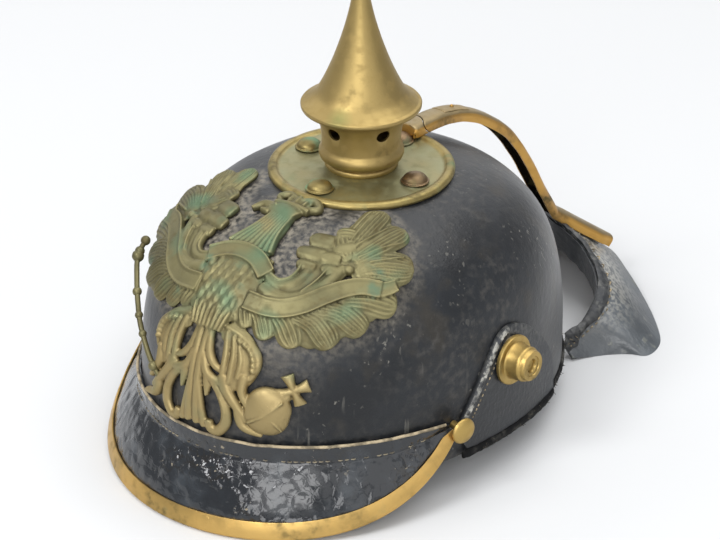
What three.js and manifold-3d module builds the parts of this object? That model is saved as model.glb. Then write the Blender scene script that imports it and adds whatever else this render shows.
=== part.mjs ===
// A spiked leather helmet: pressed leather skull, patent leather front visor with a brass trim,
// stamped eagle plate, brass spike on a round base, side posts, and a brass rear spine that has
// sprung away from the skull with the torn rear visor still hanging from it.
// Millimetres, +Z up. The front is -Y and the wearer's left is +X.
import * as THREE from 'three';
import { mergeVertices } from 'three/addons/utils/BufferGeometryUtils.js';
import Module from 'manifold-3d';

const wasm = await Module();
wasm.setup();

// Skull: half ellipses in plan whose reach shrinks with height.
const LEATHER = 2.5;
const GAP = 0.4;
const FRONT = { reach: 131, rise: 3.24, round: 2.39 };
const BACK = { reach: 110, rise: 3.16, round: 2.36 };
const SIDE = { reach: 95, rise: 4.62, round: 2.01 };
const CROWN_HEIGHT = 115;
const CROWN_SHIFT = -2.8;
const SEAT_HEIGHT = 110.2;
const FRONT_RIM = { rise: 12, from: 0.42, full: 0.88 };
const SKULL_SIDES = 40;
const SKULL_RINGS = 10;

// The surface that the helmet stands on, below the plane of the skull's side rim.
const TABLE = -16.5;

// Front visor, from the front centre round to a stud on each side.
const VISOR = {
  spread: THREE.MathUtils.degToRad(66.4), wall: 2.2, rootHeight: 24, rootFall: 1.5, flange: 8, flangeMost: 0.28,
  edgeLift: 1.3, edgeRise: 31.6, edgePower: 4.3, frontReach: 18.8, endReach: 5.8, bulge: 2.2,
  deep: 40, stations: 28, crowding: 1.25,
};
const TRIM = { sheet: 0.8, gap: 0.35, face: 8, back: 5, faceMost: 0.8, backMost: 0.5, corner: 0.1 };
const TRIM_STUD = { radius: 6.5, height: 3.2, z: 19.7, shank: 2, past: 1.024, rise: 7.4, sides: 14 };

// Spike group, on an axis that follows the crown's shift.
const BASE = { radius: 45.7, under: 110.5, top: 112.4, sides: 32 };
const BASE_STUD = { radius: 7, height: 4.4, place: 32, sides: 12 };
const NECK = { sheet: 1.2, foot: 113.4, sides: 20 };
const VENT = {
  radius: 3.1, height: 135.4, reach: 20, depth: 16, count: 5, first: THREE.MathUtils.degToRad(-22), sides: 8,
};
const SPIKE = { sheet: 1.1, lip: 143.6, tip: 217.2, sides: 22 };

// Side posts and the leather patches that they stand on.
const PATCH = { wall: 1.8, steps: 5 };
const POST = { y: -12.9, z: 41, sides: 12 };

// Rear spine and rear visor. The visor's own axes start at the bend in the spine.
const SPINE = { width: 13, depth: 6, sheet: 1, archStations: 15, footStations: 3, bow: 0.45 };
const REAR = { x: 17, y: 144, swing: THREE.MathUtils.degToRad(27), wall: 2.4, steps: 5, bulge: 0.8, deep: 45 };

// Eagle plate: plate axes start this far round and up the skull's front.
const PLATE = {
  lift: 1.1, lean: THREE.MathUtils.degToRad(30), bend: 112, shift: -2, y: -20, z: 15, edge: 1, span: 20,
  stand: 4, halfSpan: 80, rightScale: 0.95,
};

const lerp = THREE.MathUtils.lerp;
const vec = (x, y, z) => new THREE.Vector3(x, y, z);

// Share of the reach that is left at a share of the crown's height.
function taper(share, end) {
  const up = Math.min(Math.max(share, 0), 0.9999);
  return Math.pow(1 - Math.pow(up, end.rise), 1 / end.round);
}

function skullPoint(angle, height, inset = 0) {
  const top = CROWN_HEIGHT - inset;
  const end = Math.sin(angle) < 0 ? FRONT : BACK;
  const across = (SIDE.reach - inset) * taper(height / top, SIDE);
  const along = (end.reach - inset) * taper(height / top, end);
  const y = along * Math.sin(angle) + CROWN_SHIFT * Math.max(height, 0) / top;
  return vec(across * Math.cos(angle), y, height);
}

// Negative inside the skull's outer surface, positive outside it.
function skullField(p) {
  const share = p.z / CROWN_HEIGHT;
  if (share >= 1) return share;
  const y = p.y - CROWN_SHIFT * Math.max(share, 0);
  const end = y < 0 ? FRONT : BACK;
  return (p.x / (SIDE.reach * taper(share, SIDE))) ** 2 + (y / (end.reach * taper(share, end))) ** 2 - 1;
}

function skullNormal(p) {
  const step = 0.05;
  const slope = (dx, dy, dz) => skullField(vec(p.x + dx, p.y + dy, p.z + dz))
    - skullField(vec(p.x - dx, p.y - dy, p.z - dz));
  return vec(slope(step, 0, 0), slope(0, step, 0), slope(0, 0, step)).normalize();
}

// One closed body from raw triangles: doubles merged, slivers dropped, faces turned outwards.
function closedBody(geometry) {
  geometry.deleteAttribute('normal');
  geometry.deleteAttribute('uv');
  const merged = mergeVertices(geometry, 1e-4);
  const corners = merged.getIndex().array;
  const kept = [];
  for (let i = 0; i < corners.length; i += 3) {
    const [a, b, c] = [corners[i], corners[i + 1], corners[i + 2]];
    if (a !== b && b !== c && c !== a) kept.push([a, b, c]);
  }
  const at = (i) => new THREE.Vector3().fromBufferAttribute(merged.getAttribute('position'), i);
  const volume = kept.reduce((sum, [a, b, c]) => sum + at(a).dot(at(b).cross(at(c))), 0);
  if (volume < 0) kept.forEach((face) => face.reverse());
  merged.setIndex(kept.flat());
  return merged;
}

// A wall swept through stations. Each has an outer and an inner row of equally many points.
function wall(stations, ring = false) {
  const loops = stations.map((s) => [...s.outer, ...[...s.inner].reverse()]);
  const count = loops[0].length;
  const corners = [];
  const spans = ring ? loops.length : loops.length - 1;
  for (let i = 0; i < spans; i += 1) {
    const near = loops[i];
    const far = loops[(i + 1) % loops.length];
    for (let j = 0; j < count; j += 1) {
      const k = (j + 1) % count;
      corners.push(near[j], far[j], far[k], near[j], far[k], near[k]);
    }
  }
  const cap = (s, turned) => {
    for (let j = 0; j + 1 < s.outer.length; j += 1) {
      const [a, b, c, d] = [s.outer[j], s.outer[j + 1], s.inner[j + 1], s.inner[j]];
      if (turned) corners.push(a, c, b, a, d, c);
      else corners.push(a, b, c, a, c, d);
    }
  };
  if (!ring) {
    cap(stations[0], false);
    cap(stations[stations.length - 1], true);
  }
  return closedBody(new THREE.BufferGeometry().setFromPoints(corners));
}

// A turned piece from radius and height pairs, its axis on Z.
function turned(profile, sides) {
  const points = profile.map(([radius, height]) => new THREE.Vector2(radius, height));
  return closedBody(new THREE.LatheGeometry(points, sides).rotateX(Math.PI / 2));
}

function toSolid(geometry) {
  const vertProperties = new Float32Array(geometry.getAttribute('position').array);
  const triVerts = new Uint32Array(geometry.getIndex().array);
  return new wasm.Manifold(new wasm.Mesh({ numProp: 3, vertProperties, triVerts }));
}

function toGeometry(solid) {
  const { vertProperties, triVerts } = solid.getMesh();
  const geometry = new THREE.BufferGeometry();
  geometry.setAttribute('position', new THREE.BufferAttribute(vertProperties, 3));
  geometry.setIndex([...triVerts]);
  return geometry;
}

const MATERIALS = {
  leather: { color: 0x26282b, roughness: 0.55, metalness: 0 },
  patent: { color: 0x17191c, roughness: 0.25, metalness: 0 },
  brass: { color: 0xb08d4a, roughness: 0.4, metalness: 1 },
  tarnished: { color: 0x7d7448, roughness: 0.55, metalness: 1 },
};
const helmet = new THREE.Group();

function addPiece(name, geometry, look) {
  geometry.computeVertexNormals();
  const mesh = new THREE.Mesh(geometry, new THREE.MeshStandardMaterial(MATERIALS[look]));
  mesh.name = name;
  helmet.add(mesh);
  return mesh;
}

// Turns a piece made on +Z so that it stands on the skull along the given outward direction.
function standOn(mesh, point, outward) {
  mesh.quaternion.setFromUnitVectors(vec(0, 0, 1), outward);
  mesh.position.copy(point);
}

// Skull: rim raised behind the front visor, crown pressed flat under the spike's base.
function skull() {
  const stations = [];
  for (let i = 0; i < SKULL_SIDES; i += 1) {
    const angle = 2 * Math.PI * i / SKULL_SIDES;
    const rim = FRONT_RIM.rise * THREE.MathUtils.smoothstep(-Math.sin(angle), FRONT_RIM.from, FRONT_RIM.full);
    const row = (inset) => Array.from({ length: SKULL_RINGS + 1 }, (_, k) => {
      const rise = Math.sin(Math.PI / 2 * k / SKULL_RINGS);
      const point = skullPoint(angle, lerp(rim, CROWN_HEIGHT - inset, rise), inset);
      if (k === SKULL_RINGS) point.set(0, CROWN_SHIFT, point.z);
      point.z = Math.min(point.z, SEAT_HEIGHT - inset);
      return point;
    });
    stations.push({ outer: row(0), inner: row(LEATHER) });
  }
  addPiece('skull', wall(stations, true), 'leather');
}

// The visor's section at a share of the way from the front (0) to a stud (1 or -1), as
// distances out from the skull and heights.
function visorSection(side) {
  const s = Math.abs(side);
  const edgeHeight = TABLE + VISOR.edgeLift + VISOR.edgeRise * s ** VISOR.edgePower;
  const low = (edgeHeight - TABLE - VISOR.edgeLift) / VISOR.edgeRise;
  const reach = lerp(VISOR.frontReach, VISOR.endReach, low);
  const root = VISOR.rootHeight - VISOR.rootFall * s;
  const depth = root - edgeHeight;
  const flange = Math.min(VISOR.flange, depth * VISOR.flangeMost);
  const start = new THREE.Vector2(GAP + VISOR.wall, root - flange);
  const edge = new THREE.Vector2(reach, edgeHeight);
  const along = edge.clone().sub(start).normalize();
  const out = new THREE.Vector2(-along.y, along.x);
  const part = (share) => start.clone().lerp(edge, share)
    .addScaledVector(out, VISOR.bulge * Math.sin(Math.PI * share) * depth / VISOR.deep);
  const outer = [new THREE.Vector2(GAP + VISOR.wall, root), start, part(0.33), part(0.67), edge];
  const last = edge.clone().sub(outer[3]).normalize();
  const lastOut = new THREE.Vector2(-last.y, last.x);
  const inner = outer.map((p, i) => (i < 2 ? new THREE.Vector2(GAP, p.y)
    : p.clone().addScaledVector(i < 3 ? out : lastOut, -VISOR.wall)));
  return { outer, inner, edge, along: last, out: lastOut, slant: edge.distanceTo(start) };
}

// Places a section point at a share of the visor's way round the skull's front.
function atVisor(side, p) {
  const angle = -Math.PI / 2 + side * VISOR.spread;
  const base = skullPoint(angle, Math.max(p.y, 0));
  const outward = vec(Math.cos(angle) / SIDE.reach, Math.sin(angle) / FRONT.reach, 0).normalize();
  return base.setZ(p.y).addScaledVector(outward, p.x);
}

// Shares of the way round for the visor's stations, closer together towards the studs.
function visorSides() {
  return Array.from({ length: VISOR.stations + 1 }, (_, i) => {
    const even = 2 * i / VISOR.stations - 1;
    return Math.sign(even) * (1 - (1 - Math.abs(even)) ** VISOR.crowding);
  });
}

function frontVisor() {
  const stations = visorSides().map((side) => {
    const { outer, inner } = visorSection(side);
    return { outer: outer.map((p) => atVisor(side, p)), inner: inner.map((p) => atVisor(side, p)) };
  });
  addPiece('front_visor', wall(stations), 'patent');
}

// Brass channel folded over the visor's edge. Its legs shorten towards the studs.
function visorTrim() {
  const near = TRIM.gap;
  const far = TRIM.gap + TRIM.sheet;
  const wallFar = VISOR.wall + far;
  const wallNear = VISOR.wall + near;
  const stations = visorSides().map((side) => {
    const { edge, along, out, slant } = visorSection(side);
    const face = Math.min(TRIM.face, slant * TRIM.faceMost);
    const back = Math.min(TRIM.back, slant * TRIM.backMost);
    const place = ([forward, outward]) => {
      const p = edge.clone().addScaledVector(along, forward).addScaledVector(out, outward);
      p.y = Math.max(p.y, TABLE);
      return atVisor(side, p);
    };
    const outer = [[-face, far], [near, far], [far, near], [far, -wallNear], [near, -wallFar],
      [-back, -wallFar]];
    const inner = [[-face, near], [TRIM.corner, near], [near, TRIM.corner], [near, -VISOR.wall],
      [TRIM.corner, -wallNear], [-back, -wallNear]];
    return { outer: outer.map(place), inner: inner.map(place) };
  });
  addPiece('visor_trim', wall(stations), 'brass');
}

// Domed stud just past the trim's end: its head laps the trim and its shank stands on the skull.
function trimStud(name, side) {
  const { radius, height, z, shank, past, rise, sides } = TRIM_STUD;
  const profile = [[0, GAP], [shank, GAP], [shank, rise], [radius, rise], [radius * 0.97, rise + height * 0.3],
    [radius * 0.78, rise + height * 0.7], [radius * 0.42, rise + height * 0.95], [0, rise + height]];
  const point = atVisor(side * past, new THREE.Vector2(0, z));
  standOn(addPiece(name, turned(profile, sides), 'brass'), point, skullNormal(point));
}

// A point on the skull's side at a given y and height, with the outward direction there.
function onSide(side, y, z) {
  const share = z / CROWN_HEIGHT;
  const along = y - CROWN_SHIFT * share;
  const end = along < 0 ? FRONT : BACK;
  const part = along / (end.reach * taper(share, end));
  const point = vec(side * SIDE.reach * taper(share, SIDE) * Math.sqrt(1 - part * part), y, z);
  return { point, outward: skullNormal(point) };
}

// Outline of the leather patch on the skull's side, front to back.
const PATCH_ROWS = [
  { y: -46, low: 10, high: 21 }, { y: -40, low: 2, high: 30 }, { y: -31, low: 1.5, high: 44 },
  { y: -22, low: 1.5, high: 55 }, { y: -13, low: 1.5, high: 58.3 }, { y: -2, low: 1.5, high: 55 },
  { y: 10, low: 1.5, high: 45 }, { y: 22, low: 1.5, high: 31 }, { y: 30, low: 2, high: 16 },
];

function earPatch(name, side) {
  const stations = PATCH_ROWS.map(({ y, low, high }) => {
    const row = (lift) => Array.from({ length: PATCH.steps }, (_, k) => {
      const { point, outward } = onSide(side, y, lerp(low, high, k / (PATCH.steps - 1)));
      return point.addScaledVector(outward, lift);
    });
    return { outer: row(GAP + PATCH.wall), inner: row(GAP) };
  });
  addPiece(name, wall(stations), 'leather');
}

// Turned chin strap post: washer, flange, stem and a recessed end.
function sidePost(name, side) {
  const profile = [[0, 0], [12, 0], [12, 1.6], [9.9, 2.3], [9.6, 5], [8.6, 6.3], [7.6, 7], [7.2, 11.6],
    [6.7, 12.6], [2.9, 12.6], [2.4, 10], [0, 10]];
  const { point, outward } = onSide(side, POST.y, POST.z);
  point.addScaledVector(outward, GAP + PATCH.wall + GAP);
  standOn(addPiece(name, turned(profile, POST.sides), 'brass'), point, outward);
}

function onAxis(mesh) {
  mesh.position.y = CROWN_SHIFT;
  return mesh;
}

// Round base: flat sheet with a shallow well and a rolled rim.
function spikeBase() {
  const { radius, under, top, sides } = BASE;
  const profile = [[0, under], [radius - 2.4, under], [radius - 0.7, under + 0.3], [radius, under + 1.4],
    [radius - 0.5, under + 2.6], [radius - 1.8, under + 3], [radius - 3.2, under + 2.5], [radius - 5, top],
    [0, top]];
  onAxis(addPiece('spike_base', turned(profile, sides), 'tarnished'));
}

function baseStud(name, turn) {
  const { radius, height, place, sides } = BASE_STUD;
  const dome = [[0, 0], [radius, 0], [radius * 0.96, height * 0.32], [radius * 0.74, height * 0.72],
    [radius * 0.4, height * 0.95], [0, height]];
  const mesh = onAxis(addPiece(name, turned(dome, sides), 'tarnished'));
  mesh.position.x += place * Math.cos(turn);
  mesh.position.y += place * Math.sin(turn);
  mesh.position.z = BASE.top + TRIM.gap;
}

// Neck: a spun tube that swells into a ring above its foot and flares under the spike's skirt.
const NECK_ROWS = [
  { radius: 17, up: -0.7 }, { radius: 16.8, up: 1.8 }, { radius: 20.4, up: 5.4 }, { radius: 20.8, up: 8 },
  { radius: 19.5, up: 11.6 }, { radius: 19.8, up: 21 }, { radius: 21.4, up: 26 }, { radius: 26.6, up: 29.8 },
];

function spikeNeck() {
  const outer = NECK_ROWS.map(({ radius, up }) => [radius, NECK.foot + up]);
  const inner = NECK_ROWS.map(({ radius, up }) => [radius - NECK.sheet, NECK.foot + up]).reverse();
  let tube = toSolid(turned([...outer, ...inner, outer[0]], NECK.sides));
  for (let i = 0; i < VENT.count; i += 1) {
    const turn = VENT.first + 2 * Math.PI * i / VENT.count;
    const drill = new THREE.CylinderGeometry(VENT.radius, VENT.radius, VENT.depth, VENT.sides);
    drill.rotateZ(Math.PI / 2).translate(VENT.reach, 0, VENT.height).rotateZ(turn);
    tube = tube.subtract(toSolid(closedBody(drill)));
  }
  onAxis(addPiece('spike_neck', toGeometry(tube), 'brass'));
}

// Spike: a spun shell, widest at the skirt and open below.
const SPIKE_ROWS = [
  { radius: 28.5, up: 0.2 }, { radius: 29, up: 1.6 }, { radius: 25, up: 5.1 }, { radius: 21.7, up: 8.4 },
  { radius: 18.2, up: 14.7 }, { radius: 14.6, up: 22.6 }, { radius: 11.6, up: 30.4 }, { radius: 9, up: 38.1 },
  { radius: 5, up: 53.4 }, { radius: 2.8, up: 68 }, { radius: 1.7, up: 72.7 },
];

function spike() {
  const outer = SPIKE_ROWS.map(({ radius, up }) => [radius, SPIKE.lip + up]);
  const hollow = SPIKE_ROWS.filter(({ radius }) => radius > 4)
    .map(({ radius, up }) => [radius - SPIKE.sheet * 1.4, SPIKE.lip + up]).reverse();
  const roof = [0, hollow[0][1] + 2];
  onAxis(addPiece('spike', turned([roof, ...hollow, ...outer, [0, SPIKE.tip]], SPIKE.sides), 'brass'));
}

// Centre line of the rear spine: the sprung arch, then the straight foot on the rear visor.
const SPINE_ARCH = [
  { x: 0, y: 38.5, z: 117.2 }, { x: 1, y: 62, z: 114.6 }, { x: 4, y: 84, z: 107.8 }, { x: 9, y: 105, z: 93 },
  { x: 13, y: 119, z: 74 }, { x: 16, y: 132, z: 50.5 }, { x: 17.5, y: 143, z: 33 },
];
const SPINE_FOOT = { x: 35, y: 175, z: 6.9 };

function rearSpine() {
  const arch = new THREE.CatmullRomCurve3(SPINE_ARCH.map(({ x, y, z }) => vec(x, y, z)));
  const centres = arch.getSpacedPoints(SPINE.archStations);
  const bend = centres[centres.length - 1];
  const foot = vec(SPINE_FOOT.x, SPINE_FOOT.y, SPINE_FOOT.z);
  for (let i = 1; i <= SPINE.footStations; i += 1) {
    centres.push(bend.clone().lerp(foot, i / SPINE.footStations));
  }
  const swungSide = vec(Math.cos(REAR.swing), -Math.sin(REAR.swing), 0);
  const stations = centres.map((centre, i) => {
    const before = centres[Math.max(i - 1, 0)];
    const after = centres[Math.min(i + 1, centres.length - 1)];
    const forward = after.clone().sub(before).normalize();
    const across = vec(1, 0, 0).lerp(swungSide, Math.min(i / SPINE.archStations, 1));
    across.addScaledVector(forward, -across.dot(forward)).normalize();
    const up = across.clone().cross(forward);
    const narrow = i === centres.length - 1 ? 0.7 : 1;
    const at = (side, height) => centre.clone().addScaledVector(across, side * narrow)
      .addScaledVector(up, height);
    const row = (inset) => {
      const half = SPINE.width / 2 - inset;
      const crown = SPINE.depth / 2 - inset;
      const foot = -SPINE.depth / 2;
      return [at(-half, foot), at(-half, crown * SPINE.bow), at(-half * 0.6, crown * 0.9), at(0, crown),
        at(half * 0.6, crown * 0.9), at(half, crown * SPINE.bow), at(half, foot)];
    };
    return { outer: row(0), inner: row(SPINE.sheet) };
  });
  addPiece('rear_spine', wall(stations), 'brass');
}

// Half of the rear visor, centre to end, on its own axes: across, back from the bend, and height.
const REAR_ROWS = [
  { root: [0, 2, 26.2], edge: [0, 40, -1.8] }, { root: [14, 4.5, 23.6], edge: [17, 39.6, -6] },
  { root: [26, 6.5, 19.8], edge: [34, 38.4, -11.4] }, { root: [43, 4, 14], edge: [56, 33.5, -15.6] },
  { root: [54, -1.5, 8], edge: [77, 24, -16.5] }, { root: [60, -9, 3], edge: [86, 11, -16.5] },
  { root: [64, -17, -2], edge: [80, 2, -16.5] }, { root: [67, -25, -7], edge: [75, -12, -16.4] },
  { root: [68.5, -29, -10], edge: [73.5, -27, -14.6] },
];

function rearVisor() {
  const halves = [...REAR_ROWS.slice(1).reverse().map((row) => ({ ...row, mirror: -1 })),
    ...REAR_ROWS.map((row) => ({ ...row, mirror: 1 }))];
  const [sin, cos] = [Math.sin(REAR.swing), Math.cos(REAR.swing)];
  const place = ([across, back, height], mirror) => vec(
    REAR.x + cos * across * mirror + sin * back, REAR.y - sin * across * mirror + cos * back, height);
  const grid = halves.map(({ root, edge, mirror }) => {
    const [from, to] = [place(root, mirror), place(edge, mirror)];
    const swell = REAR.bulge * from.distanceTo(to) / REAR.deep;
    return Array.from({ length: REAR.steps }, (_, k) => {
      const share = k / (REAR.steps - 1);
      return from.clone().lerp(to, share).add(vec(0, 0, swell * Math.sin(Math.PI * share)));
    });
  });
  const last = grid.length - 1;
  const stations = grid.map((outer, i) => {
    const inner = outer.map((p, k) => {
      const across = grid[Math.min(i + 1, last)][k].clone().sub(grid[Math.max(i - 1, 0)][k]);
      const down = outer[Math.min(k + 1, REAR.steps - 1)].clone().sub(outer[Math.max(k - 1, 0)]);
      const upward = across.cross(down).normalize();
      const under = p.clone().addScaledVector(upward, -REAR.wall);
      under.z = Math.max(under.z, TABLE);
      return under;
    });
    return { outer, inner };
  });
  addPiece('rear_visor', wall(stations), 'leather');
}

// Wraps plate coordinates, across and up, onto the skull's front at a height above it. The wings
// stand a little away from the skull, and the wearer's right one is drawn in closer round it.
function onPlate(across, up, lift) {
  const u = (across < 0 ? across * PLATE.rightScale : across) + PLATE.shift;
  const far = Math.hypot(u, up) || 1e-9;
  const [sin, cos] = [Math.sin(PLATE.lean), Math.cos(PLATE.lean)];
  const centre = vec(0, PLATE.y, PLATE.z);
  const swing = Math.sin(far / PLATE.bend) / far;
  const ray = vec(0, -cos, sin).multiplyScalar(Math.cos(far / PLATE.bend))
    .add(vec(u, up * sin, up * cos).multiplyScalar(swing));
  let [low, high] = [0, 260];
  for (let i = 0; i < 40; i += 1) {
    const middle = (low + high) / 2;
    if (skullField(centre.clone().addScaledVector(ray, middle)) < 0) low = middle;
    else high = middle;
  }
  const point = centre.addScaledVector(ray, low);
  const away = PLATE.stand * (across / PLATE.halfSpan) ** 2;
  return point.addScaledVector(skullNormal(point), lift + away);
}

// How a stroke's width and height run from its start to its tip.
const LEAF = [{ at: 0, wide: 0.8, tall: 0.9 }, { at: 0.8, wide: 1, tall: 1 }, { at: 1, wide: 0.5, tall: 0.6 }];
const STEM = [{ at: 0, wide: 1, tall: 1 }, { at: 0.55, wide: 1, tall: 1 }, { at: 1, wide: 0.7, tall: 0.7 }];
const BEAD = [
  { at: 0, wide: 0.4, tall: 0.5 }, { at: 0.25, wide: 0.95, tall: 0.9 },
  { at: 0.75, wide: 0.95, tall: 0.9 }, { at: 1, wide: 0.4, tall: 0.5 },
];
const BAND = [{ at: 0, wide: 1, tall: 1 }, { at: 0.5, wide: 1, tall: 1 }, { at: 1, wide: 1, tall: 1 }];

// Strokes on both halves of the plate: from, via and to on the plate, widths, height and run.
const PAIRED_STROKES = [
  // Flight feathers, top of the wing to the body.
  { from: [43, 58], via: [42, 78], to: [49, 90], wide: [12, 11], rise: 3, run: LEAF },
  { from: [46, 54], via: [54, 72], to: [64, 84], wide: [13, 15], rise: 2.6, run: LEAF },
  { from: [48, 50], via: [62, 58], to: [79, 60], wide: [15, 17], rise: 3, run: LEAF },
  { from: [50, 38], via: [66, 43], to: [79, 39], wide: [14, 15], rise: 2.6, run: LEAF },
  { from: [42, 26], via: [56, 29], to: [70, 22.5], wide: [13, 14], rise: 3, run: LEAF },
  { from: [36, 19], via: [47, 20], to: [58, 10], wide: [12, 14], rise: 2.6, run: LEAF },
  { from: [28, 17], via: [36, 16], to: [42, 5.5], wide: [11, 13], rise: 3, run: LEAF },
  { from: [22, 17], via: [26, 13], to: [28.5, 5], wide: [10, 11], rise: 2.6, run: STEM },
  { from: [15, 17], via: [17, 12], to: [18, 6.5], wide: [9, 9], rise: 3, run: STEM },
  // Wing arm, and the three coverts that end in beads on the inner edge.
  { from: [13, 26.5], via: [42, 22], to: [45, 56], wide: [12, 10], rise: 4, run: LEAF },
  { from: [44, 43], via: [40, 45], to: [30, 44], wide: [8, 9], rise: 3.4, run: STEM },
  { from: [46, 50], via: [40, 52], to: [27, 51], wide: [9, 10], rise: 3.8, run: STEM },
  { from: [46, 58], via: [40, 64], to: [28, 60], wide: [11, 11], rise: 3.4, run: STEM },
  // Bare ribbon over the wing.
  { from: [14, 19], via: [30, 15], to: [44, 29.5], wide: [8, 8], rise: 5, edge: 4.6, run: BAND },
  { from: [43.4, 29], via: [56, 44], to: [71, 46], wide: [8, 7], rise: 5.2, edge: 4.8, run: BAND },
  // Thigh, shank and the claw's two toes.
  { from: [8, 5], via: [28, 5], to: [28.5, -16], wide: [9, 9], rise: 4, run: LEAF },
  { from: [11, 6], via: [19, -6], to: [16.5, -21], wide: [11, 8], rise: 4.6, run: STEM },
  { from: [16, -18], via: [18, -25], to: [27, -33], wide: [6, 5], rise: 4, run: STEM },
  { from: [25, -13], via: [23, -26], to: [31, -33], wide: [5, 4], rise: 4.4, run: STEM },
  { from: [25, -32], via: [29, -41], to: [37, -41], wide: [5, 4], rise: 4.4, run: STEM },
  // Tail: stem lobe, scrolls and the closing curl.
  { from: [1.6, 5], via: [1, -25], to: [2.6, -47], wide: [5, 6.6], rise: 3.4, run: STEM },
  { from: [2.6, 5], via: [4, -10], to: [14, -16], wide: [4, 4], rise: 3, run: STEM },
  { from: [1.6, -8], via: [3, -20], to: [16, -20.5], wide: [4, 5], rise: 3.2, run: STEM },
  { from: [8, -21], via: [22, -27], to: [17.6, -42], wide: [5, 6], rise: 3.2, run: LEAF },
  { from: [18, -39], via: [12, -48], to: [3, -43], wide: [6, 6], rise: 3, run: STEM },
];

// Strokes that stand alone: body, ribbon arch, neck, head with beak and crown, orb, and sceptre.
const SINGLE_STROKES = [
  { from: [0, 42], via: [0, 22], to: [0, 0], wide: [30, 18], rise: 5, run: BEAD },
  { from: [-17, 30], via: [0, 54], to: [17, 30], wide: [8, 8], rise: 6, edge: 5.6, run: BAND },
  { from: [0, 38], via: [5, 54], to: [2, 70], wide: [25, 14], rise: 5, run: LEAF },
  { from: [8, 67], via: [0, 71], to: [-10, 69], wide: [13, 12], rise: 5.6, run: BEAD },
  { from: [-7, 71], via: [-16, 72], to: [-18, 63], wide: [6, 3], rise: 4.2, run: STEM },
  { from: [-8, 75], via: [3, 76], to: [15, 75], wide: [5, 5], rise: 5.6, run: STEM },
  { from: [4, 73], via: [4, 76], to: [4, 81], wide: [15, 13], rise: 5, run: STEM },
  { from: [38, -40], via: [38, -28], to: [38, -16.5], wide: [22, 22], rise: 6, run: BEAD },
  { from: [43, -20], via: [46, -16], to: [48, -14], wide: [5, 5], rise: 3, run: STEM },
  { from: [-24, -42], via: [-46, -24], to: [-62, 6], wide: [3.4, 3], rise: 4, run: BAND },
  { from: [-55, -9], via: [-60, 0], to: [-64, 9], wide: [6, 8], rise: 4.4, run: STEM },
];
const CROSS = { across: 48, up: -14, arm: 7.5, wide: [2.4, 6], rise: 3.4, turn: THREE.MathUtils.degToRad(35) };

// Halves the longest edge again and again until none is longer than the limit, so that the flat
// plate can bend round the skull.
function splitLong(geometry, limit) {
  const position = geometry.getAttribute('position');
  const points = Array.from({ length: position.count }, (_, i) => vec().fromBufferAttribute(position, i));
  const corners = [...geometry.getIndex().array];
  let faces = Array.from({ length: corners.length / 3 }, (_, i) => corners.slice(3 * i, 3 * i + 3));
  for (;;) {
    let ends = null;
    let longest = limit;
    for (const face of faces) {
      face.forEach((a, k) => {
        const b = face[(k + 1) % 3];
        const length = points[a].distanceTo(points[b]);
        if (length > longest) [ends, longest] = [[a, b], length];
      });
    }
    if (!ends) break;
    const [a, b] = ends;
    const middle = points.push(points[a].clone().lerp(points[b], 0.5)) - 1;
    faces = faces.flatMap((face) => (face.includes(a) && face.includes(b)
      ? [face.map((i) => (i === a ? middle : i)), face.map((i) => (i === b ? middle : i))] : [face]));
  }
  return new THREE.BufferGeometry().setFromPoints(points).setIndex(faces.flat());
}

function stroke({ from, via, to, wide, rise, edge = PLATE.edge, run }, mirror = 1) {
  const line = new THREE.QuadraticBezierCurve(
    new THREE.Vector2(...from), new THREE.Vector2(...via), new THREE.Vector2(...to));
  const stations = run.map(({ at, wide: spread, tall }) => {
    const centre = line.getPoint(at);
    const forward = line.getTangent(at);
    const half = lerp(wide[0], wide[1], at) * spread / 2;
    const place = (side, lift) => vec(
      mirror * (centre.x - forward.y * side), centre.y + forward.x * side, lift);
    return {
      outer: [place(-half, edge * tall), place(0, rise * tall), place(half, edge * tall)],
      inner: [place(-half, 0), place(0, 0), place(half, 0)],
    };
  });
  return toSolid(wall(stations));
}

function eaglePlate() {
  const arms = [0, 1, 2, 3].map((i) => {
    const turn = CROSS.turn + Math.PI / 2 * i;
    const reach = (share) => [CROSS.across + CROSS.arm * share * Math.cos(turn),
      CROSS.up + CROSS.arm * share * Math.sin(turn)];
    return { from: reach(-0.1), via: reach(0.5), to: reach(1), wide: CROSS.wide, rise: CROSS.rise, run: STEM };
  });
  const solids = [
    ...PAIRED_STROKES.flatMap((row) => [stroke(row, 1), stroke(row, -1)]),
    ...[...SINGLE_STROKES, ...arms].map((row) => stroke(row)),
  ];
  const flat = toGeometry(solids.reduce((whole, next) => whole.add(next)));
  const wrapped = splitLong(flat, PLATE.span);
  const position = wrapped.getAttribute('position');
  for (let i = 0; i < position.count; i += 1) {
    const point = onPlate(position.getX(i), position.getY(i), PLATE.lift + position.getZ(i));
    position.setXYZ(i, point.x, point.y, point.z);
  }
  addPiece('eagle_plate', wrapped, 'tarnished');
}

skull();
frontVisor();
visorTrim();
spikeBase();
spikeNeck();
spike();
rearSpine();
rearVisor();
eaglePlate();
['front', 'left', 'back', 'right'].forEach((place, i) => baseStud(`base_stud_${place}`, Math.PI / 2 * (i - 1)));
for (const [place, side] of [['left', 1], ['right', -1]]) {
  trimStud(`trim_stud_${place}`, side);
  earPatch(`ear_patch_${place}`, side);
  sidePost(`side_post_${place}`, side);
}

// The helmet stands with the middle of its box over the origin.
const box = new THREE.Box3().setFromObject(helmet);
const middle = box.getCenter(new THREE.Vector3());
helmet.position.set(-middle.x, -middle.y, -box.min.z);

export default helmet;
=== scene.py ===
import math
import random

import bmesh
import bpy
import numpy as np
from mathutils import Matrix, Vector, kdtree, noise


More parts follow.
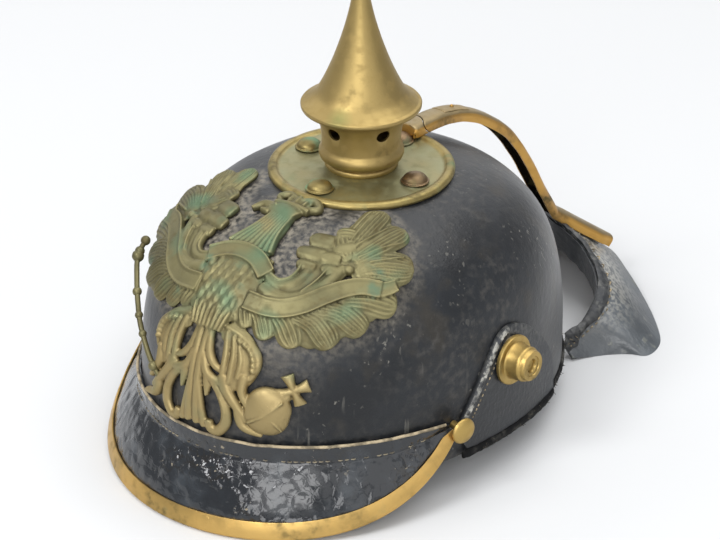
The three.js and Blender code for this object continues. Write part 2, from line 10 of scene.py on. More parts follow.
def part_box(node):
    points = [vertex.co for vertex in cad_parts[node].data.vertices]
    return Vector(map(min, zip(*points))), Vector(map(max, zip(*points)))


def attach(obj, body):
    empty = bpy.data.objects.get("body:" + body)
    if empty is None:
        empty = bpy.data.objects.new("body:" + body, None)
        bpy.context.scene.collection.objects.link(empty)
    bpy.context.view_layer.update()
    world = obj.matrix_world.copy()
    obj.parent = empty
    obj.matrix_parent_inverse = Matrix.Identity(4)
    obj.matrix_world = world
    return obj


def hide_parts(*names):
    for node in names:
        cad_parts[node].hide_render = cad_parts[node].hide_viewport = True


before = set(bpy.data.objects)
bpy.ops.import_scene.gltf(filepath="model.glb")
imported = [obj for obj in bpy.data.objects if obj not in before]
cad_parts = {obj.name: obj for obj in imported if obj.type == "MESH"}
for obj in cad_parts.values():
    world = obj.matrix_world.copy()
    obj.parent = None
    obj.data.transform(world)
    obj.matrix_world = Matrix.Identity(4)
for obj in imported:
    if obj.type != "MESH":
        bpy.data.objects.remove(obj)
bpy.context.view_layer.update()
print("frame loaded:", len(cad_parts), "nodes")

# The helmet's own axes are millimetres: front at -Y, zero on the level of the skull's side rim.
crownShift = -2.8  # the spike's line sits this far forward
baseLow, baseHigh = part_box("spike_base")
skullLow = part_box("skull")[0]
helmOrigin = Vector((0, (baseLow[1] + baseHigh[1]) / 2 - crownShift / 1000, skullLow[2]))
tableHeight = -1000 * helmOrigin.z
leatherGap = 0.4
middleOfHead = Vector((0, 0, 40))
bothSides = (("left", 1), ("right", -1))


def toFrame(place):
    return helmOrigin + Vector(place) / 1000


# Materials

def hexColour(text):
    parts = [int(text[i:i + 2], 16) / 255 for i in (1, 3, 5)]
    return (*[c / 12.92 if c <= 0.04045 else ((c + 0.055) / 1.055) ** 2.4 for c in parts], 1)


def perMetre(millimetres):
    return 1000 / millimetres  # texture scale for a feature of this size


def setInputs(tree, node, inputs):
    for name, value in inputs.items():
        if isinstance(value, bpy.types.NodeSocket):
            tree.links.new(value, node.inputs[name])
        else:
            node.inputs[name].default_value = value


def addNode(tree, kind, inputs, out=0, **settings):
    node = tree.nodes.new("ShaderNode" + kind)
    for key, value in settings.items():
        setattr(node, key, value)
    setInputs(tree, node, inputs)
    return node.outputs[out]


def startMaterial(name):
    material = bpy.data.materials.new(name)
    material.use_nodes = True
    tree = material.node_tree
    return material, tree, addNode(tree, "TexCoord", {}, "Object")


def speckle(tree, coords, size, low, high, detail, stretch=None, turn=(0, 0, 0)):
    # a cloudy pattern of this size in mm, cut softly between two levels into a mask
    if stretch:
        coords = addNode(tree, "Mapping", {"Vector": coords, "Scale": stretch, "Rotation": turn})
    cloud = addNode(tree, "TexNoise", {"Vector": coords, "Scale": perMetre(size), "Detail": detail})
    return addNode(tree, "MapRange", {"Value": cloud, "From Min": low, "From Max": high},
                   interpolation_type="SMOOTHSTEP")


def finishMaterial(tree, colours, roughs, bumps=(), more=()):
    # the first colour and roughness lie undermost, each later one over them by its mask
    colour, rough, normal = hexColour(colours[0]), roughs[0], {}
    for mask, shade in colours[1:]:
        colour = addNode(tree, "Mix", {0: mask, 6: colour, 7: hexColour(shade)}, 2, data_type="RGBA")
    for mask, value in roughs[1:]:
        rough = addNode(tree, "Mix", {0: mask, 2: rough, 3: value})
    for height, depth in bumps:  # depth in mm
        inputs = {"Height": height, "Strength": 1.0, "Distance": depth / 1000, **normal}
        normal = {"Normal": addNode(tree, "Bump", inputs)}
    finish = {"Base Color": colour, "Roughness": rough, **normal, **dict(more)}
    setInputs(tree, tree.nodes["Principled BSDF"], finish)


# Blackened and waxed cowhide: satin, charcoal, with dust in the grain and rubbed lighter on top.
def skullLeather():
    material, tree, coords = startMaterial("waxed_cowhide")
    cloudy = speckle(tree, coords, 48, 0.38, 0.66, 6)
    dust = speckle(tree, coords, 4, 0.42, 0.8, 10)
    dustPatch = speckle(tree, coords, 52, 0.42, 0.66, 6)
    brown = speckle(tree, coords, 22, 0.52, 0.7, 7)
    scratch = speckle(tree, coords, 2.6, 0.67, 0.7, 1, (1, 0.6, 0.07), (0.3, 0.2, 0.4))
    scuff = speckle(tree, coords, 2.6, 0.64, 0.72, 7)
    scuffPatch = speckle(tree, coords, 36, 0.44, 0.62, 4)
    blister = speckle(tree, coords, 4.5, 0.35, 0.75, 5)
    dirt = speckle(tree, coords, 2.6, 0.34, 0.66, 9)
    grain = addNode(tree, "TexVoronoi", {"Vector": coords, "Scale": perMetre(1.2)})
    near = addNode(tree, "Attribute", {}, "Fac", attribute_name="grime")
    dusty = addNode(tree, "Math", {0: dust, 1: dustPatch}, operation="MULTIPLY")
    scuffed = addNode(tree, "Math", {0: scuff, 1: scuffPatch}, operation="MULTIPLY")
    scratched = addNode(tree, "Math", {0: scratch, 1: scuffPatch}, operation="MULTIPLY")
    grime = addNode(tree, "Math", {0: near, 1: dirt}, operation="MULTIPLY")
    colours = ["#090c10", (cloudy, "#13171c"), (brown, "#24211c"), (dusty, "#3d3b38"), (scuffed, "#6c6a63"),
               (scratched, "#484743"), (near, "#302f2e"), (grime, "#8b8476")]
    roughs = [0.34, (cloudy, 0.46), (dusty, 0.55), (grime, 0.8)]
    bumps = [(grain, 0.04), (blister, 0.08), (dusty, 0.1), (scratched, -0.1)]
    finishMaterial(tree, colours, roughs, bumps, {"Specular IOR Level": 0.4, "Sheen Weight": 0.08})
    return material


# Undyed inside of the hide: brown, matt and fibrous.
def rawLeather():
    material, tree, coords = startMaterial("undyed_hide")
    fibre = speckle(tree, coords, 3, 0.35, 0.7, 6, (1, 1, 3))
    stain = speckle(tree, coords, 30, 0.4, 0.65, 4)
    finishMaterial(tree, ["#4b382a", (fibre, "#6b513a"), (stain, "#33281f")], [0.85], [(fibre, 0.2)])
    return material


# Patent leather: thick black lacquer, glossy, crazed into small wrinkles, with flakes knocked off.
def patentLeather():
    material, tree, coords = startMaterial("patent_leather")
    warp = addNode(tree, "TexNoise", {"Vector": coords, "Scale": perMetre(9), "Detail": 3.0}, "Color")
    bent = addNode(tree, "Mix", {0: 0.01, 4: coords, 5: warp}, 1, data_type="VECTOR")
    cell = addNode(tree, "TexVoronoi", {"Vector": bent, "Scale": perMetre(6)}, feature="DISTANCE_TO_EDGE")
    plateau = addNode(tree, "MapRange", {"Value": cell, "From Min": 0.0, "From Max": 0.09})
    crack = addNode(tree, "Math", {0: 1.0, 1: plateau}, operation="SUBTRACT")
    ridge = speckle(tree, coords, 4.6, 0.3, 0.7, 2, (1, 1, 0.7))
    lump = speckle(tree, coords, 9, 0.3, 0.7, 1)
    flake = speckle(tree, coords, 2.6, 0.66, 0.69, 6)
    flakePatch = speckle(tree, coords, 34, 0.5, 0.62, 2)
    dusty = speckle(tree, coords, 16, 0.46, 0.74, 7)
    peeled = addNode(tree, "Math", {0: flake, 1: flakePatch}, operation="MULTIPLY")
    crazed = addNode(tree, "Math", {0: crack, 1: flakePatch}, operation="MULTIPLY")
    wrinkle = addNode(tree, "Math", {0: ridge, 1: flakePatch}, operation="MULTIPLY")
    colours = ["#181b1f", (dusty, "#2e3338"), (crazed, "#1a1815"), (peeled, "#857b68")]
    roughs = [0.15, (dusty, 0.27), (peeled, 0.8)]
    bumps = [(plateau, 0.05), (wrinkle, 0.34), (ridge, 0.07), (lump, 0.7), (peeled, -0.12)]
    finishMaterial(tree, colours, roughs, bumps,
                   {"Specular IOR Level": 0.5, "Coat Weight": 0.35, "Coat Roughness": 0.12})
    return material


# Worn black leather: finely wrinkled, rubbed grey and pale along its folds. Crinkle is their size in mm.
def wornLeather(name, dark, light, rubbed, smooth, crinkle, shine):
    material, tree, coords = startMaterial(name)
    crease = speckle(tree, coords, crinkle, 0.36, 0.72, 5, (0.5, 1.3, 1), (0, 0, 0.7))
    cloudy = speckle(tree, coords, 28, 0.4, 0.68, 5)
    rub = speckle(tree, coords, 6, 0.6, 0.74, 6)
    fleck = speckle(tree, coords, 2.4, 0.4, 0.6, 5)
    # the wear attribute pales it in flecks: real wear on most pieces, painted sheen on the rear visor's upper
    # part
    wear = addNode(tree, "Attribute", {}, "Fac", attribute_name="wear")
    worn = addNode(tree, "Math", {0: wear, 1: fleck}, operation="MULTIPLY")
    colours = [dark, (cloudy, light), (rub, rubbed), (worn, "#a5a39a")]
    bumps = [(crease, crinkle * 0.05), (rub, 0.12)]
    finishMaterial(tree, colours, [smooth, (cloudy, smooth + 0.16)], bumps, {"Specular IOR Level": shine})
    return material


# Waxed linen thread: pale, matt, dirty in places.
def linenThread(name, light, dark):
    material, tree, coords = startMaterial(name)
    dirt = speckle(tree, coords, 5, 0.4, 0.6, 4)
    finishMaterial(tree, [light, (dirt, dark)], [0.8])
    return material


# Brass: yellow metal that browns, then greens. Spun or rolled, so its sheen is soft.
# Less green or tarnish shows the higher its level is, and dents are in mm.
def brass(name, bright, dull, green, greenFrom, rough, tarnish, dents=0.1, metal=0.95, **marks):
    material, tree, coords = startMaterial(name)
    cloudy = speckle(tree, coords, 26, tarnish, tarnish + 0.28, 5)
    mottled = speckle(tree, coords, 5, 0.45, 0.72, 6)
    spot = speckle(tree, coords, 15, greenFrom, greenFrom + 0.2, 8)
    pit = speckle(tree, coords, 1.1, 0.62, 0.72, 3)
    browned = addNode(tree, "Math", {0: mottled, 1: cloudy}, operation="MULTIPLY")
    colours = [bright, (cloudy, dull), (browned, "#5f5638"), (spot, green)]
    for mark, shade in marks.items():  # each mark is an attribute of the piece
        amount = addNode(tree, "Attribute", {}, "Fac", attribute_name=mark)
        mask = addNode(tree, "MapRange", {"Value": amount, "From Min": 0.1, "From Max": 0.9})
        colours.append((mask, shade))
    roughs = [rough, (mottled, rough + 0.16), (spot, 0.75)]
    bare = addNode(tree, "Mix", {0: spot, 2: metal, 3: 0.2})
    finishMaterial(tree, colours, roughs, [(pit, -0.04), (cloudy, dents)], {"Metallic": bare})
    return material


cowhide = skullLeather()
undyedHide = rawLeather()
patent = patentLeather()
harnessLeather = wornLeather("worn_harness_leather", "#16181b", "#24272b", "#31302d", 0.36, 3, 0.5)
neckLeather = wornLeather("satin_neck_leather", "#383d41", "#4d5358", "#62645f", 0.33, 2.4, 0.9)
boundLeather = wornLeather("frayed_binding", "#060607", "#0c0c0e", "#191715", 0.75, 2, 0.2)
paleThread = linenThread("pale_linen_thread", "#a99a7e", "#6d6350")
dirtyThread = linenThread("dirty_linen_thread", "#7f7663", "#4a453b")
darkThread = linenThread("waxed_black_thread", "#2b2a28", "#4d493f")
trimBrass = brass("rolled_brass", "#cba763", "#ad9057", "#75774e", 0.6, 0.38, 0.4)
postBrass = brass("turned_brass", "#b3985b", "#98824f", "#75774e", 0.66, 0.42, 0.42, 0.05)
spikeBrass = brass("spun_brass", "#9f8a58", "#948051", "#66704c", 0.78, 0.46, 0.56, 0.03, stain="#76804f")
baseBrass = brass("tarnished_brass", "#988754", "#827548", "#5f7050", 0.56, 0.4, 0.36, 0.2, 0.82,
                  well="#8c8a68")
spineBrass = brass("worn_brass", "#c0964f", "#a5824f", "#6b7357", 0.7, 0.4, 0.42, 0.15, 0.9, top="#93825f")
# Inside of the spine: unpolished brass, painted near black as shade for the underside that lies in shadow.
shadedRawBrass = brass("unpolished_brass_painted_shade", "#2c251b", "#1f1a14", "#2f332a", 0.7, 0.6, 0.4)
eagleBrass = brass("stamped_brass", "#756f4d", "#625e42", "#4f6b54", 0.58, 0.46, 0.4, 0.06, 0.72,
                   polish="#94835a", patina="#587258", worn="#968c64", hollow="#2f2a1b")
studGreen = brass("greened_brass", "#85774c", "#776b46", "#6c8a68", 0.46, 0.46, 0.4, 0.05)
studCopper = brass("copper_washed_brass", "#7f6950", "#6d5c45", "#6f7a58", 0.62, 0.42, 0.4, 0.05)
print("materials ready")


# Tools that every piece uses

def mappedSheet(columns, rows, shape, awayFrom=None):
    bm = bmesh.new()
    bmesh.ops.create_grid(bm, x_segments=columns, y_segments=rows, size=0.5)
    for vert in bm.verts:
        vert.co = shape(vert.co.x + 0.5, vert.co.y + 0.5)
    bmesh.ops.remove_doubles(bm, verts=bm.verts, dist=1e-4)
    bm.normal_update()
    bm.faces.ensure_lookup_table()
    if awayFrom is not None:
        facing = [face.normal.dot(face.calc_center_median() - awayFrom) * face.calc_area()
                  for face in bm.faces]
        if sum(facing) < 0:
            bmesh.ops.reverse_faces(bm, faces=bm.faces)
    return bm


def spunPiece(profile, steps=96, ring=False):
    bm = bmesh.new()
    verts = [bm.verts.new((radius, 0, height)) for radius, height in profile]
    ends = verts[1:] + verts[:1] if ring else verts[1:]
    edges = [bm.edges.new(pair) for pair in zip(verts, ends)]
    bmesh.ops.spin(bm, geom=verts + edges, cent=(0, 0, 0), axis=(0, 0, 1), angle=2 * math.pi,
                   steps=steps, use_merge=True)
    bmesh.ops.remove_doubles(bm, verts=bm.verts, dist=1e-4)
    bmesh.ops.recalc_face_normals(bm, faces=bm.faces)
    return bm


def curveThrough(points, share):
    # a smooth curve that passes through every point, from 0 at the first to 1 at the last
    last = len(points) - 1
    at = min(max(share, 0), 1) * last
    i = min(int(at), last - 1)
    t = at - i
    a, b, c, d = [points[min(max(k, 0), last)] for k in (i - 1, i, i + 1, i + 2)]
    return [0.5 * (2 * q + (r - p) * t + (2 * p - 5 * q + 4 * r - s) * t * t
                   + (3 * q - p - 3 * r + s) * t ** 3) for p, q, r, s in zip(a, b, c, d)]


def smoothRows(rows, count):
    return [tuple(curveThrough(rows, k / count)) for k in range(count + 1)]


def shift(bm, offset):
    bmesh.ops.translate(bm, vec=Vector(offset), verts=bm.verts)
    return bm


def standOn(bm, place, outward):
    turn = Vector((0, 0, 1)).rotation_difference(outward).to_matrix()
    bmesh.ops.rotate(bm, cent=(0, 0, 0), matrix=turn, verts=bm.verts)
    return shift(bm, place)


def joinTo(whole, part):
    holder = bpy.data.meshes.new("joined")
    part.to_mesh(holder)
    part.free()
    whole.from_mesh(holder)
    bpy.data.meshes.remove(holder)


def addObject(name, data):
    thing = bpy.data.objects.new(name, data)
    bpy.context.scene.collection.objects.link(thing)
    return thing


def meshFrom(bm, name):
    mesh = bpy.data.meshes.new(name)
    bm.to_mesh(mesh)
    bm.free()
    return mesh


def finishedMesh(thing):
    # the mesh with its modifiers applied
    return bpy.data.meshes.new_from_object(thing.evaluated_get(bpy.context.evaluated_depsgraph_get()))


def dressPiece(name, mesh, node, materials):
    piece = addObject(name, mesh)
    for material in materials:
        mesh.materials.append(material)
    mesh.shade_smooth()
    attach(piece, "root")
    if node:
        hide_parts(node)
    return piece


def placeInFrame(bm):
    bmesh.ops.scale(bm, vec=(0.001, 0.001, 0.001), verts=bm.verts)
    return shift(bm, helmOrigin)


def addPiece(bm, name, node, slot, *materials, sharp=None):
    piece = dressPiece(name, meshFrom(placeInFrame(bm), name), node, materials)
    if sharp:
        piece.data.set_sharp_from_angle(angle=math.radians(sharp))
    return piece


def addStrands(name, paths, radius, material, sides=1):
    curve = bpy.data.curves.new(name, "CURVE")
    curve.dimensions = "3D"
    curve.bevel_depth = radius / 1000
    curve.bevel_resolution = sides
    curve.use_fill_caps = True
    for path in paths:
        spline = curve.splines.new("POLY")
        spline.points.add(len(path) - 1)
        for point, place in zip(spline.points, path):
            point.co = (*toFrame(place), 1)
    holder = bpy.data.objects.new(name, curve)
    mesh = bpy.data.meshes.new_from_object(holder)
    bpy.data.objects.remove(holder)
    bpy.data.curves.remove(curve)
    return dressPiece(name, mesh, None, [material])


def roundEdges(piece, rounding):
    edge = piece.modifiers.new("edge", "BEVEL")
    edge.width = rounding / 1000
    edge.segments = 2
    edge.limit_method = "ANGLE"
    edge.angle_limit = math.radians(50)


def giveWall(piece, thickness, rounding, inside=0, even=True):
    wall = piece.modifiers.new("wall", "SOLIDIFY")
    wall.thickness = thickness / 1000
    wall.offset = -1
    wall.use_even_offset = even
    wall.material_offset = inside
    roundEdges(piece, rounding)


def setAttribute(piece, name, values):
    layer = piece.data.attributes.new(name, "FLOAT", "POINT")
    layer.data.foreach_set("value", values)


def smoothStep(value, low, high):
    t = min(max((value - low) / (high - low), 0), 1)
    return t * t * (3 - 2 * t)


# Skull

skullForm = {
    "front": {"reach": 131, "rise": 3.24, "round": 2.39},
    "back": {"reach": 110, "rise": 3.16, "round": 2.36},
    "side": {"reach": 95, "rise": 4.62, "round": 2.01},
    "crown": 115, "seat": 110.2, "wall": 2.5, "edge": 0.7,
    "rimRise": 12, "rimFrom": 0.42, "rimFull": 0.88,
    "columns": 180, "rows": 110, "dent": 0.5, "dentSize": 34,
}


def taper(share, end):
    return (1 - np.clip(share, 0, 0.9999) ** end["rise"]) ** (1 / end["round"])


def skullPoint(angle, height):
    share = height / skullForm["crown"]
    end = skullForm["front"] if math.sin(angle) < 0 else skullForm["back"]
    side = skullForm["side"]
    y = end["reach"] * taper(share, end) * math.sin(angle) + crownShift * max(share, 0)
    return Vector((side["reach"] * taper(share, side) * math.cos(angle), y, height))


def skullField(p):
    # below zero inside the skull, above it outside; takes one point or many
    share = p[..., 2] / skullForm["crown"]
    y = p[..., 1] - crownShift * np.maximum(share, 0)
    front, back, side = skullForm["front"], skullForm["back"], skullForm["side"]
    reach = np.where(y < 0, front["reach"] * taper(share, front), back["reach"] * taper(share, back))
    inside = (p[..., 0] / (side["reach"] * taper(share, side))) ** 2 + (y / reach) ** 2 - 1
    return np.where(share >= 1, share, inside)


def skullNormal(p):
    steps = np.eye(3) * 0.05
    slope = np.stack([skullField(p + s) - skullField(p - s) for s in steps], -1)
    return slope / np.linalg.norm(slope, axis=-1, keepdims=True)


def outwardAt(place):
    return Vector(skullNormal(np.array(place, float)))


def rimHeight(angle):
    return skullForm["rimRise"] * smoothStep(-math.sin(angle), skullForm["rimFrom"], skullForm["rimFull"])


def makeSkull():
    bm = bmesh.new()
    bmesh.ops.create_uvsphere(bm, u_segments=skullForm["columns"], v_segments=skullForm["rows"], radius=1)
    lower = [vert for vert in bm.verts if vert.co.z < -1e-4]
    bmesh.ops.delete(bm, geom=lower, context="VERTS")
    for vert in bm.verts:
        angle = math.atan2(vert.co.y, vert.co.x)
        rim = rimHeight(angle)
        place = skullPoint(angle, rim + (skullForm["crown"] - rim) * vert.co.z)
        dent = skullForm["dent"] * noise.noise(place / skullForm["dentSize"])
        place += (place - middleOfHead).normalized() * dent
        place.z = min(place.z, skullForm["seat"])
        vert.co = place
    piece = addPiece(bm, "skull_shell", "skull", "skull_leather", cowhide, undyedHide)
    giveWall(piece, skullForm["wall"], skullForm["edge"], inside=1)
    return piece


skullShell = makeSkull()
print("skull ready")


# Front visor with its brass edge

visorForm = {
    "spread": math.radians(66.4), "wall": 2.2, "rootHeight": 25.4, "rootFall": 3.6,
    "flange": 8, "flangeMost": 0.28, "flangeShare": 0.24, "bulge": 2.2, "deep": 40,
    "edgeLift": 1.3, "edgeRise": 31.6, "edgePower": 4.3, "frontReach": 18.8, "endReach": 5.8,
    "columns": 150, "rows": 34, "wave": 0.35, "waveSize": 11,
    "waveFrom": 0.22, "waveFull": 0.4, "waveEnd": 0.2,
}


def visorSection(side):
    s = abs(side)
    form = visorForm
    low = s ** form["edgePower"]
    edge = Vector((form["frontReach"] + (form["endReach"] - form["frontReach"]) * low,
                   tableHeight + form["edgeLift"] + form["edgeRise"] * low))
    root = form["rootHeight"] - form["rootFall"] * s * s
    depth = root - edge.y
    start = Vector((leatherGap + form["wall"], root - min(form["flange"], depth * form["flangeMost"])))
    along = (edge - start).normalized()
    out = Vector((-along.y, along.x))
    swell = form["bulge"] * depth / form["deep"]

    def slope(share):
        return start.lerp(edge, share) + out * swell * math.sin(math.pi * share)

    last = (edge - slope(0.67)).normalized()
    return {"root": root, "start": start, "edge": edge, "slope": slope, "along": last,
            "out": Vector((-last.y, last.x)), "slant": (edge - start).length}


def atVisor(side, out, height):
    angle = -math.pi / 2 + side * visorForm["spread"]
    halfWide, halfLong = skullForm["side"]["reach"], skullForm["front"]["reach"]
    outward = Vector((math.cos(angle) / halfWide, math.sin(angle) / halfLong, 0))
    place = skullPoint(angle, max(height, 0))
    place.z = height
    return place + outward.normalized() * out


def visorPlace(side, share, lift=0):
    section = visorSection(side)
    flange = visorForm["flangeShare"]
    if share < flange:
        out = section["start"].x
        height = section["root"] + (section["start"].y - section["root"]) * share / flange
        return atVisor(side, out + lift, height)
    p = section["slope"]((share - flange) / (1 - flange))
    return atVisor(side, p.x + lift, p.y)


def makeVisor():
    form = visorForm

    def shape(s, t):
        place = visorPlace(2 * s - 1, t)
        ripple = form["wave"] * noise.noise(place / form["waveSize"])
        ripple *= smoothStep(t, form["waveFrom"], form["waveFull"]) * smoothStep(1 - t, 0, form["waveEnd"])
        return place + (place - middleOfHead).normalized() * ripple

    bm = mappedSheet(form["columns"], form["rows"], shape, middleOfHead)
    piece = addPiece(bm, "patent_visor", "front_visor", "patent_leather", patent, undyedHide)
    giveWall(piece, form["wall"], 0.5, inside=1)


visorWelt = {"radius": 0.75, "steps": 120, "until": 0.985, "sink": -0.5, "rise": 0.4, "wander": 0.35,
             "size": 7}
visorStitch = {"count": 80, "share": 0.215, "length": 2.4, "radius": 0.34, "until": 0.93, "lost": 0.35,
               "sink": (-0.12, 0.1), "end": -0.2, "top": 0.25}


def makeVisorSewing():
    random.seed(3)
    welt = []
    for k in range(visorWelt["steps"] + 1):
        side = visorWelt["until"] * (2 * k / visorWelt["steps"] - 1)
        place = visorPlace(side, 0, visorWelt["sink"])
        place.z += visorWelt["rise"] + visorWelt["wander"] * noise.noise(place / visorWelt["size"])
        welt.append(place)
    addStrands("visor_root_welt", [welt], visorWelt["radius"], paleThread, 2)
    form = visorStitch
    half = form["length"] / 2 / (skullForm["front"]["reach"] * visorForm["spread"])
    stitches = []
    for k in range(form["count"]):
        middle = form["until"] * (2 * (k + 0.5) / form["count"] - 1)
        if random.random() < form["lost"]:
            continue
        sink = random.uniform(*form["sink"])
        bends = ((-half, form["end"]), (0, form["top"]), (half, form["end"]))
        stitches.append([visorPlace(middle + along, form["share"], sink + lift) for along, lift in bends])
    addStrands("visor_stitches", stitches, form["radius"], dirtyThread)


trimForm = {"sheet": 0.8, "gap": 0.35, "face": 8, "back": 5, "faceMost": 0.8, "backMost": 0.5, "crown": 0.25,
            "columns": 190, "rows": 40, "faceShare": 0.42, "noseShare": 0.72}


def makeTrim():
    form = trimForm
    far = form["gap"] + form["sheet"]
    inner = -(visorForm["wall"] + far)
    middle = (far + inner) / 2
    tall = (far - inner) / 2

    def shape(s, t):
        side = 2 * s - 1
        section = visorSection(side)
        face = min(form["face"], section["slant"] * form["faceMost"])
        back = min(form["back"], section["slant"] * form["backMost"])
        if t < form["faceShare"]:
            share = t / form["faceShare"]
            forward, out = -face * (1 - share), far + form["crown"] * math.sin(math.pi * share)
        elif t < form["noseShare"]:
            turn = math.pi * ((t - form["faceShare"]) / (form["noseShare"] - form["faceShare"]) - 0.5)
            forward, out = far * math.cos(turn), middle - tall * math.sin(turn)
        else:
            share = (t - form["noseShare"]) / (1 - form["noseShare"])
            forward, out = -back * share, inner
        p = section["edge"] + section["along"] * forward + section["out"] * out
        return atVisor(side, p.x, max(p.y, tableHeight))

    bm = mappedSheet(form["columns"], form["rows"], shape)
    piece = addPiece(bm, "brass_visor_edge", "visor_trim", "trim_brass", trimBrass)
    if piece.data.polygons[0].normal.dot(toFrame(visorPlace(-1, 0.6)) - toFrame(middleOfHead)) < 0:
        piece.data.flip_normals()
    giveWall(piece, form["sheet"], 0.2)


trimStud = {"radius": 6.5, "height": 3.2, "z": 19.7, "shank": 2,
            "past": 1.024, "rise": 7.4, "chamfer": 0.5, "brim": 0.7}


def domeRows(radius, height, foot, count=10):
    turns = [math.pi / 2 * k / count for k in range(count + 1)]
    return [(radius * math.cos(t), foot + height * math.sin(t)) for t in turns]


def makeTrimStuds():
    form = trimStud
    radius, shank, foot = form["radius"], form["shank"], form["rise"]
    rows = [(0, leatherGap), (shank, leatherGap), (shank, foot), (radius - form["chamfer"], foot),
            (radius, foot + form["chamfer"])]
    rows += domeRows(radius, form["height"] - form["brim"], foot + form["brim"])
    for name, side in bothSides:
        place = atVisor(side * form["past"], 0, form["z"])
        bm = standOn(spunPiece(rows, 40), place, outwardAt(place))
        addPiece(bm, "visor_stud_" + name, "trim_stud_" + name, "trim_brass", postBrass, sharp=45)


makeVisor()
makeVisorSewing()
makeTrim()
makeTrimStuds()
print("front visor ready")


# Ear patches and strap posts

patchForm = {"wall": 1.8, "columns": 60, "rows": 50, "wear": 0.12, "wearFrom": 25, "wearFull": 60}
patchRows = [(-46, 10, 21), (-40, 2, 30), (-31, 1.5, 44), (-22, 1.5, 55), (-13, 1.5, 58.3), (-2, 1.5, 55),
             (10, 1.5, 45), (22, 1.5, 31), (30, 2, 16)]  # y, low and high, front to back
weltForm = {"from": 0.02, "long": 0.5, "inset": 0.2, "wide": 3.4, "sink": -0.3, "bump": 1.6, "ripple": 0.35,
            "columns": 90, "rows": 12, "wear": 0.65, "patchy": 0.8}
earStitch = {"count": 30, "from": 0.05, "long": 0.6, "inset": 6, "half": (0.002, 0.005), "radius": 0.34,
             "end": -0.1, "top": 0.2}


def onSide(side, y, z):
    share = z / skullForm["crown"]
    along = y - crownShift * share
    end = skullForm["front"] if along < 0 else skullForm["back"]
    part = along / (end["reach"] * taper(share, end))
    x = skullForm["side"]["reach"] * taper(share, skullForm["side"]) * math.sqrt(max(1 - part * part, 0))
    return Vector((side * x, y, z))


def patchPlace(side, s, t, lift=0):
    y, low, high = curveThrough(patchRows, s)
    place = onSide(side, y, low + (high - low) * t)
    return place + outwardAt(place) * (leatherGap + patchForm["wall"] + lift)


def patchTop(side, share, inset, lift):
    # a point beside the patch's upper edge, from its front end to its back end
    before, here, after = [curveThrough(patchRows, share + step) for step in (-0.02, 0, 0.02)]
    edge = Vector((after[0] - before[0], after[2] - before[2])).normalized()
    place = onSide(side, here[0] + edge.y * inset, here[2] - edge.x * inset)
    return place + outwardAt(place) * (leatherGap + patchForm["wall"] + lift)


def patchWelt(side, share, across):
    # a rolled strip along the patch's front edge
    form = weltForm
    run = form["from"] + form["long"] * share
    ends = smoothStep(share, 0, 0.05) * smoothStep(1 - share, 0, 0.12)
    bump = form["bump"] * math.sin(math.pi * across) * ends
    ripple = form["ripple"] * noise.noise(Vector((share * 40, across * 3, side)))
    return patchTop(side, run, form["inset"] + form["wide"] * across, form["sink"] + bump * (1 + ripple))


def makeEarPatches():
    random.seed(5)
    for name, side in bothSides:
        form = patchForm
        bm = mappedSheet(form["columns"], form["rows"], lambda s, t: patchPlace(side, s, t), middleOfHead)
        wear = [smoothStep(vert.co.z, form["wearFrom"], form["wearFull"]) * form["wear"] for vert in bm.verts]
        piece = addPiece(bm, "ear_leather_" + name, "ear_patch_" + name, "rear_leather", harnessLeather)
        setAttribute(piece, "wear", wear)
        giveWall(piece, form["wall"], 0.6)
        form = weltForm
        bm = mappedSheet(form["columns"], form["rows"], lambda s, t: patchWelt(side, s, t), middleOfHead)
        wear = [form["wear"] + form["patchy"] * noise.noise(vert.co / 4) for vert in bm.verts]
        piece = addPiece(bm, "ear_welt_" + name, None, "rear_leather", harnessLeather)
        setAttribute(piece, "wear", wear)
        form = earStitch
        stitches = []
        for k in range(form["count"]):
            middle = form["from"] + form["long"] * k / (form["count"] - 1)
            half = random.uniform(*form["half"])
            bends = ((-half, form["end"]), (0, form["top"]), (half, form["end"]))
            stitches.append([patchTop(side, middle + along, form["inset"], lift) for along, lift in bends])
        addStrands("ear_stitches_" + name, stitches, form["radius"], paleThread)


postForm = {"y": -12.9, "z": 41}
postRows = [(0, 0), (12, 0), (12.4, 0.4), (12.4, 1.7), (12, 2.2), (9.5, 2.4), (9.1, 2.8), (8.9, 3.4),
            (8.6, 8.4), (8.7, 9.1), (8.4, 9.9), (7.8, 10.3), (7.6, 10.7), (7.6, 12), (7.2, 12.6), (5.2, 12.6),
            (4.9, 12.1), (3.7, 12.1), (3.3, 11.7), (3, 10.6), (0, 10.3)]  # radius and rise, foot to dimple


def makePosts():
    for name, side in bothSides:
        place = onSide(side, postForm["y"], postForm["z"])
        outward = outwardAt(place)
        foot = place + outward * (2 * leatherGap + patchForm["wall"])
        bm = standOn(spunPiece(postRows, 64), foot, outward)
        addPiece(bm, "strap_post_" + name, "side_post_" + name, "trim_brass", postBrass, sharp=38)


makeEarPatches()
makePosts()
print("ear patches and posts ready")


# Binding sewn round the skull's lower rim, frayed behind the near ear

bindingForm = {"from": math.radians(-20), "to": math.radians(200), "columns": 260, "rows": 14,
               "wide": 2.2, "thick": 1.1, "height": 1.3, "out": 0.2, "overPatch": 2.1,
               "patchEnd": 33, "lapLong": 5, "lumps": ((0.22, 2.4), (0.12, 0.9)), "wear": 0.25}
bindingFray = {"count": 60, "share": (0.02, 0.33), "around": (-1.8, 0.9),
               "lean": ((-0.2, 1), (-1, 1), (-0.9, 0.25)), "curl": ((-1, 1), (-1, 1), (-1, 0.4)),
               "length": (0.6, 1.7), "root": 0.3, "bend": 0.5, "even": True, "radius": 0.14}


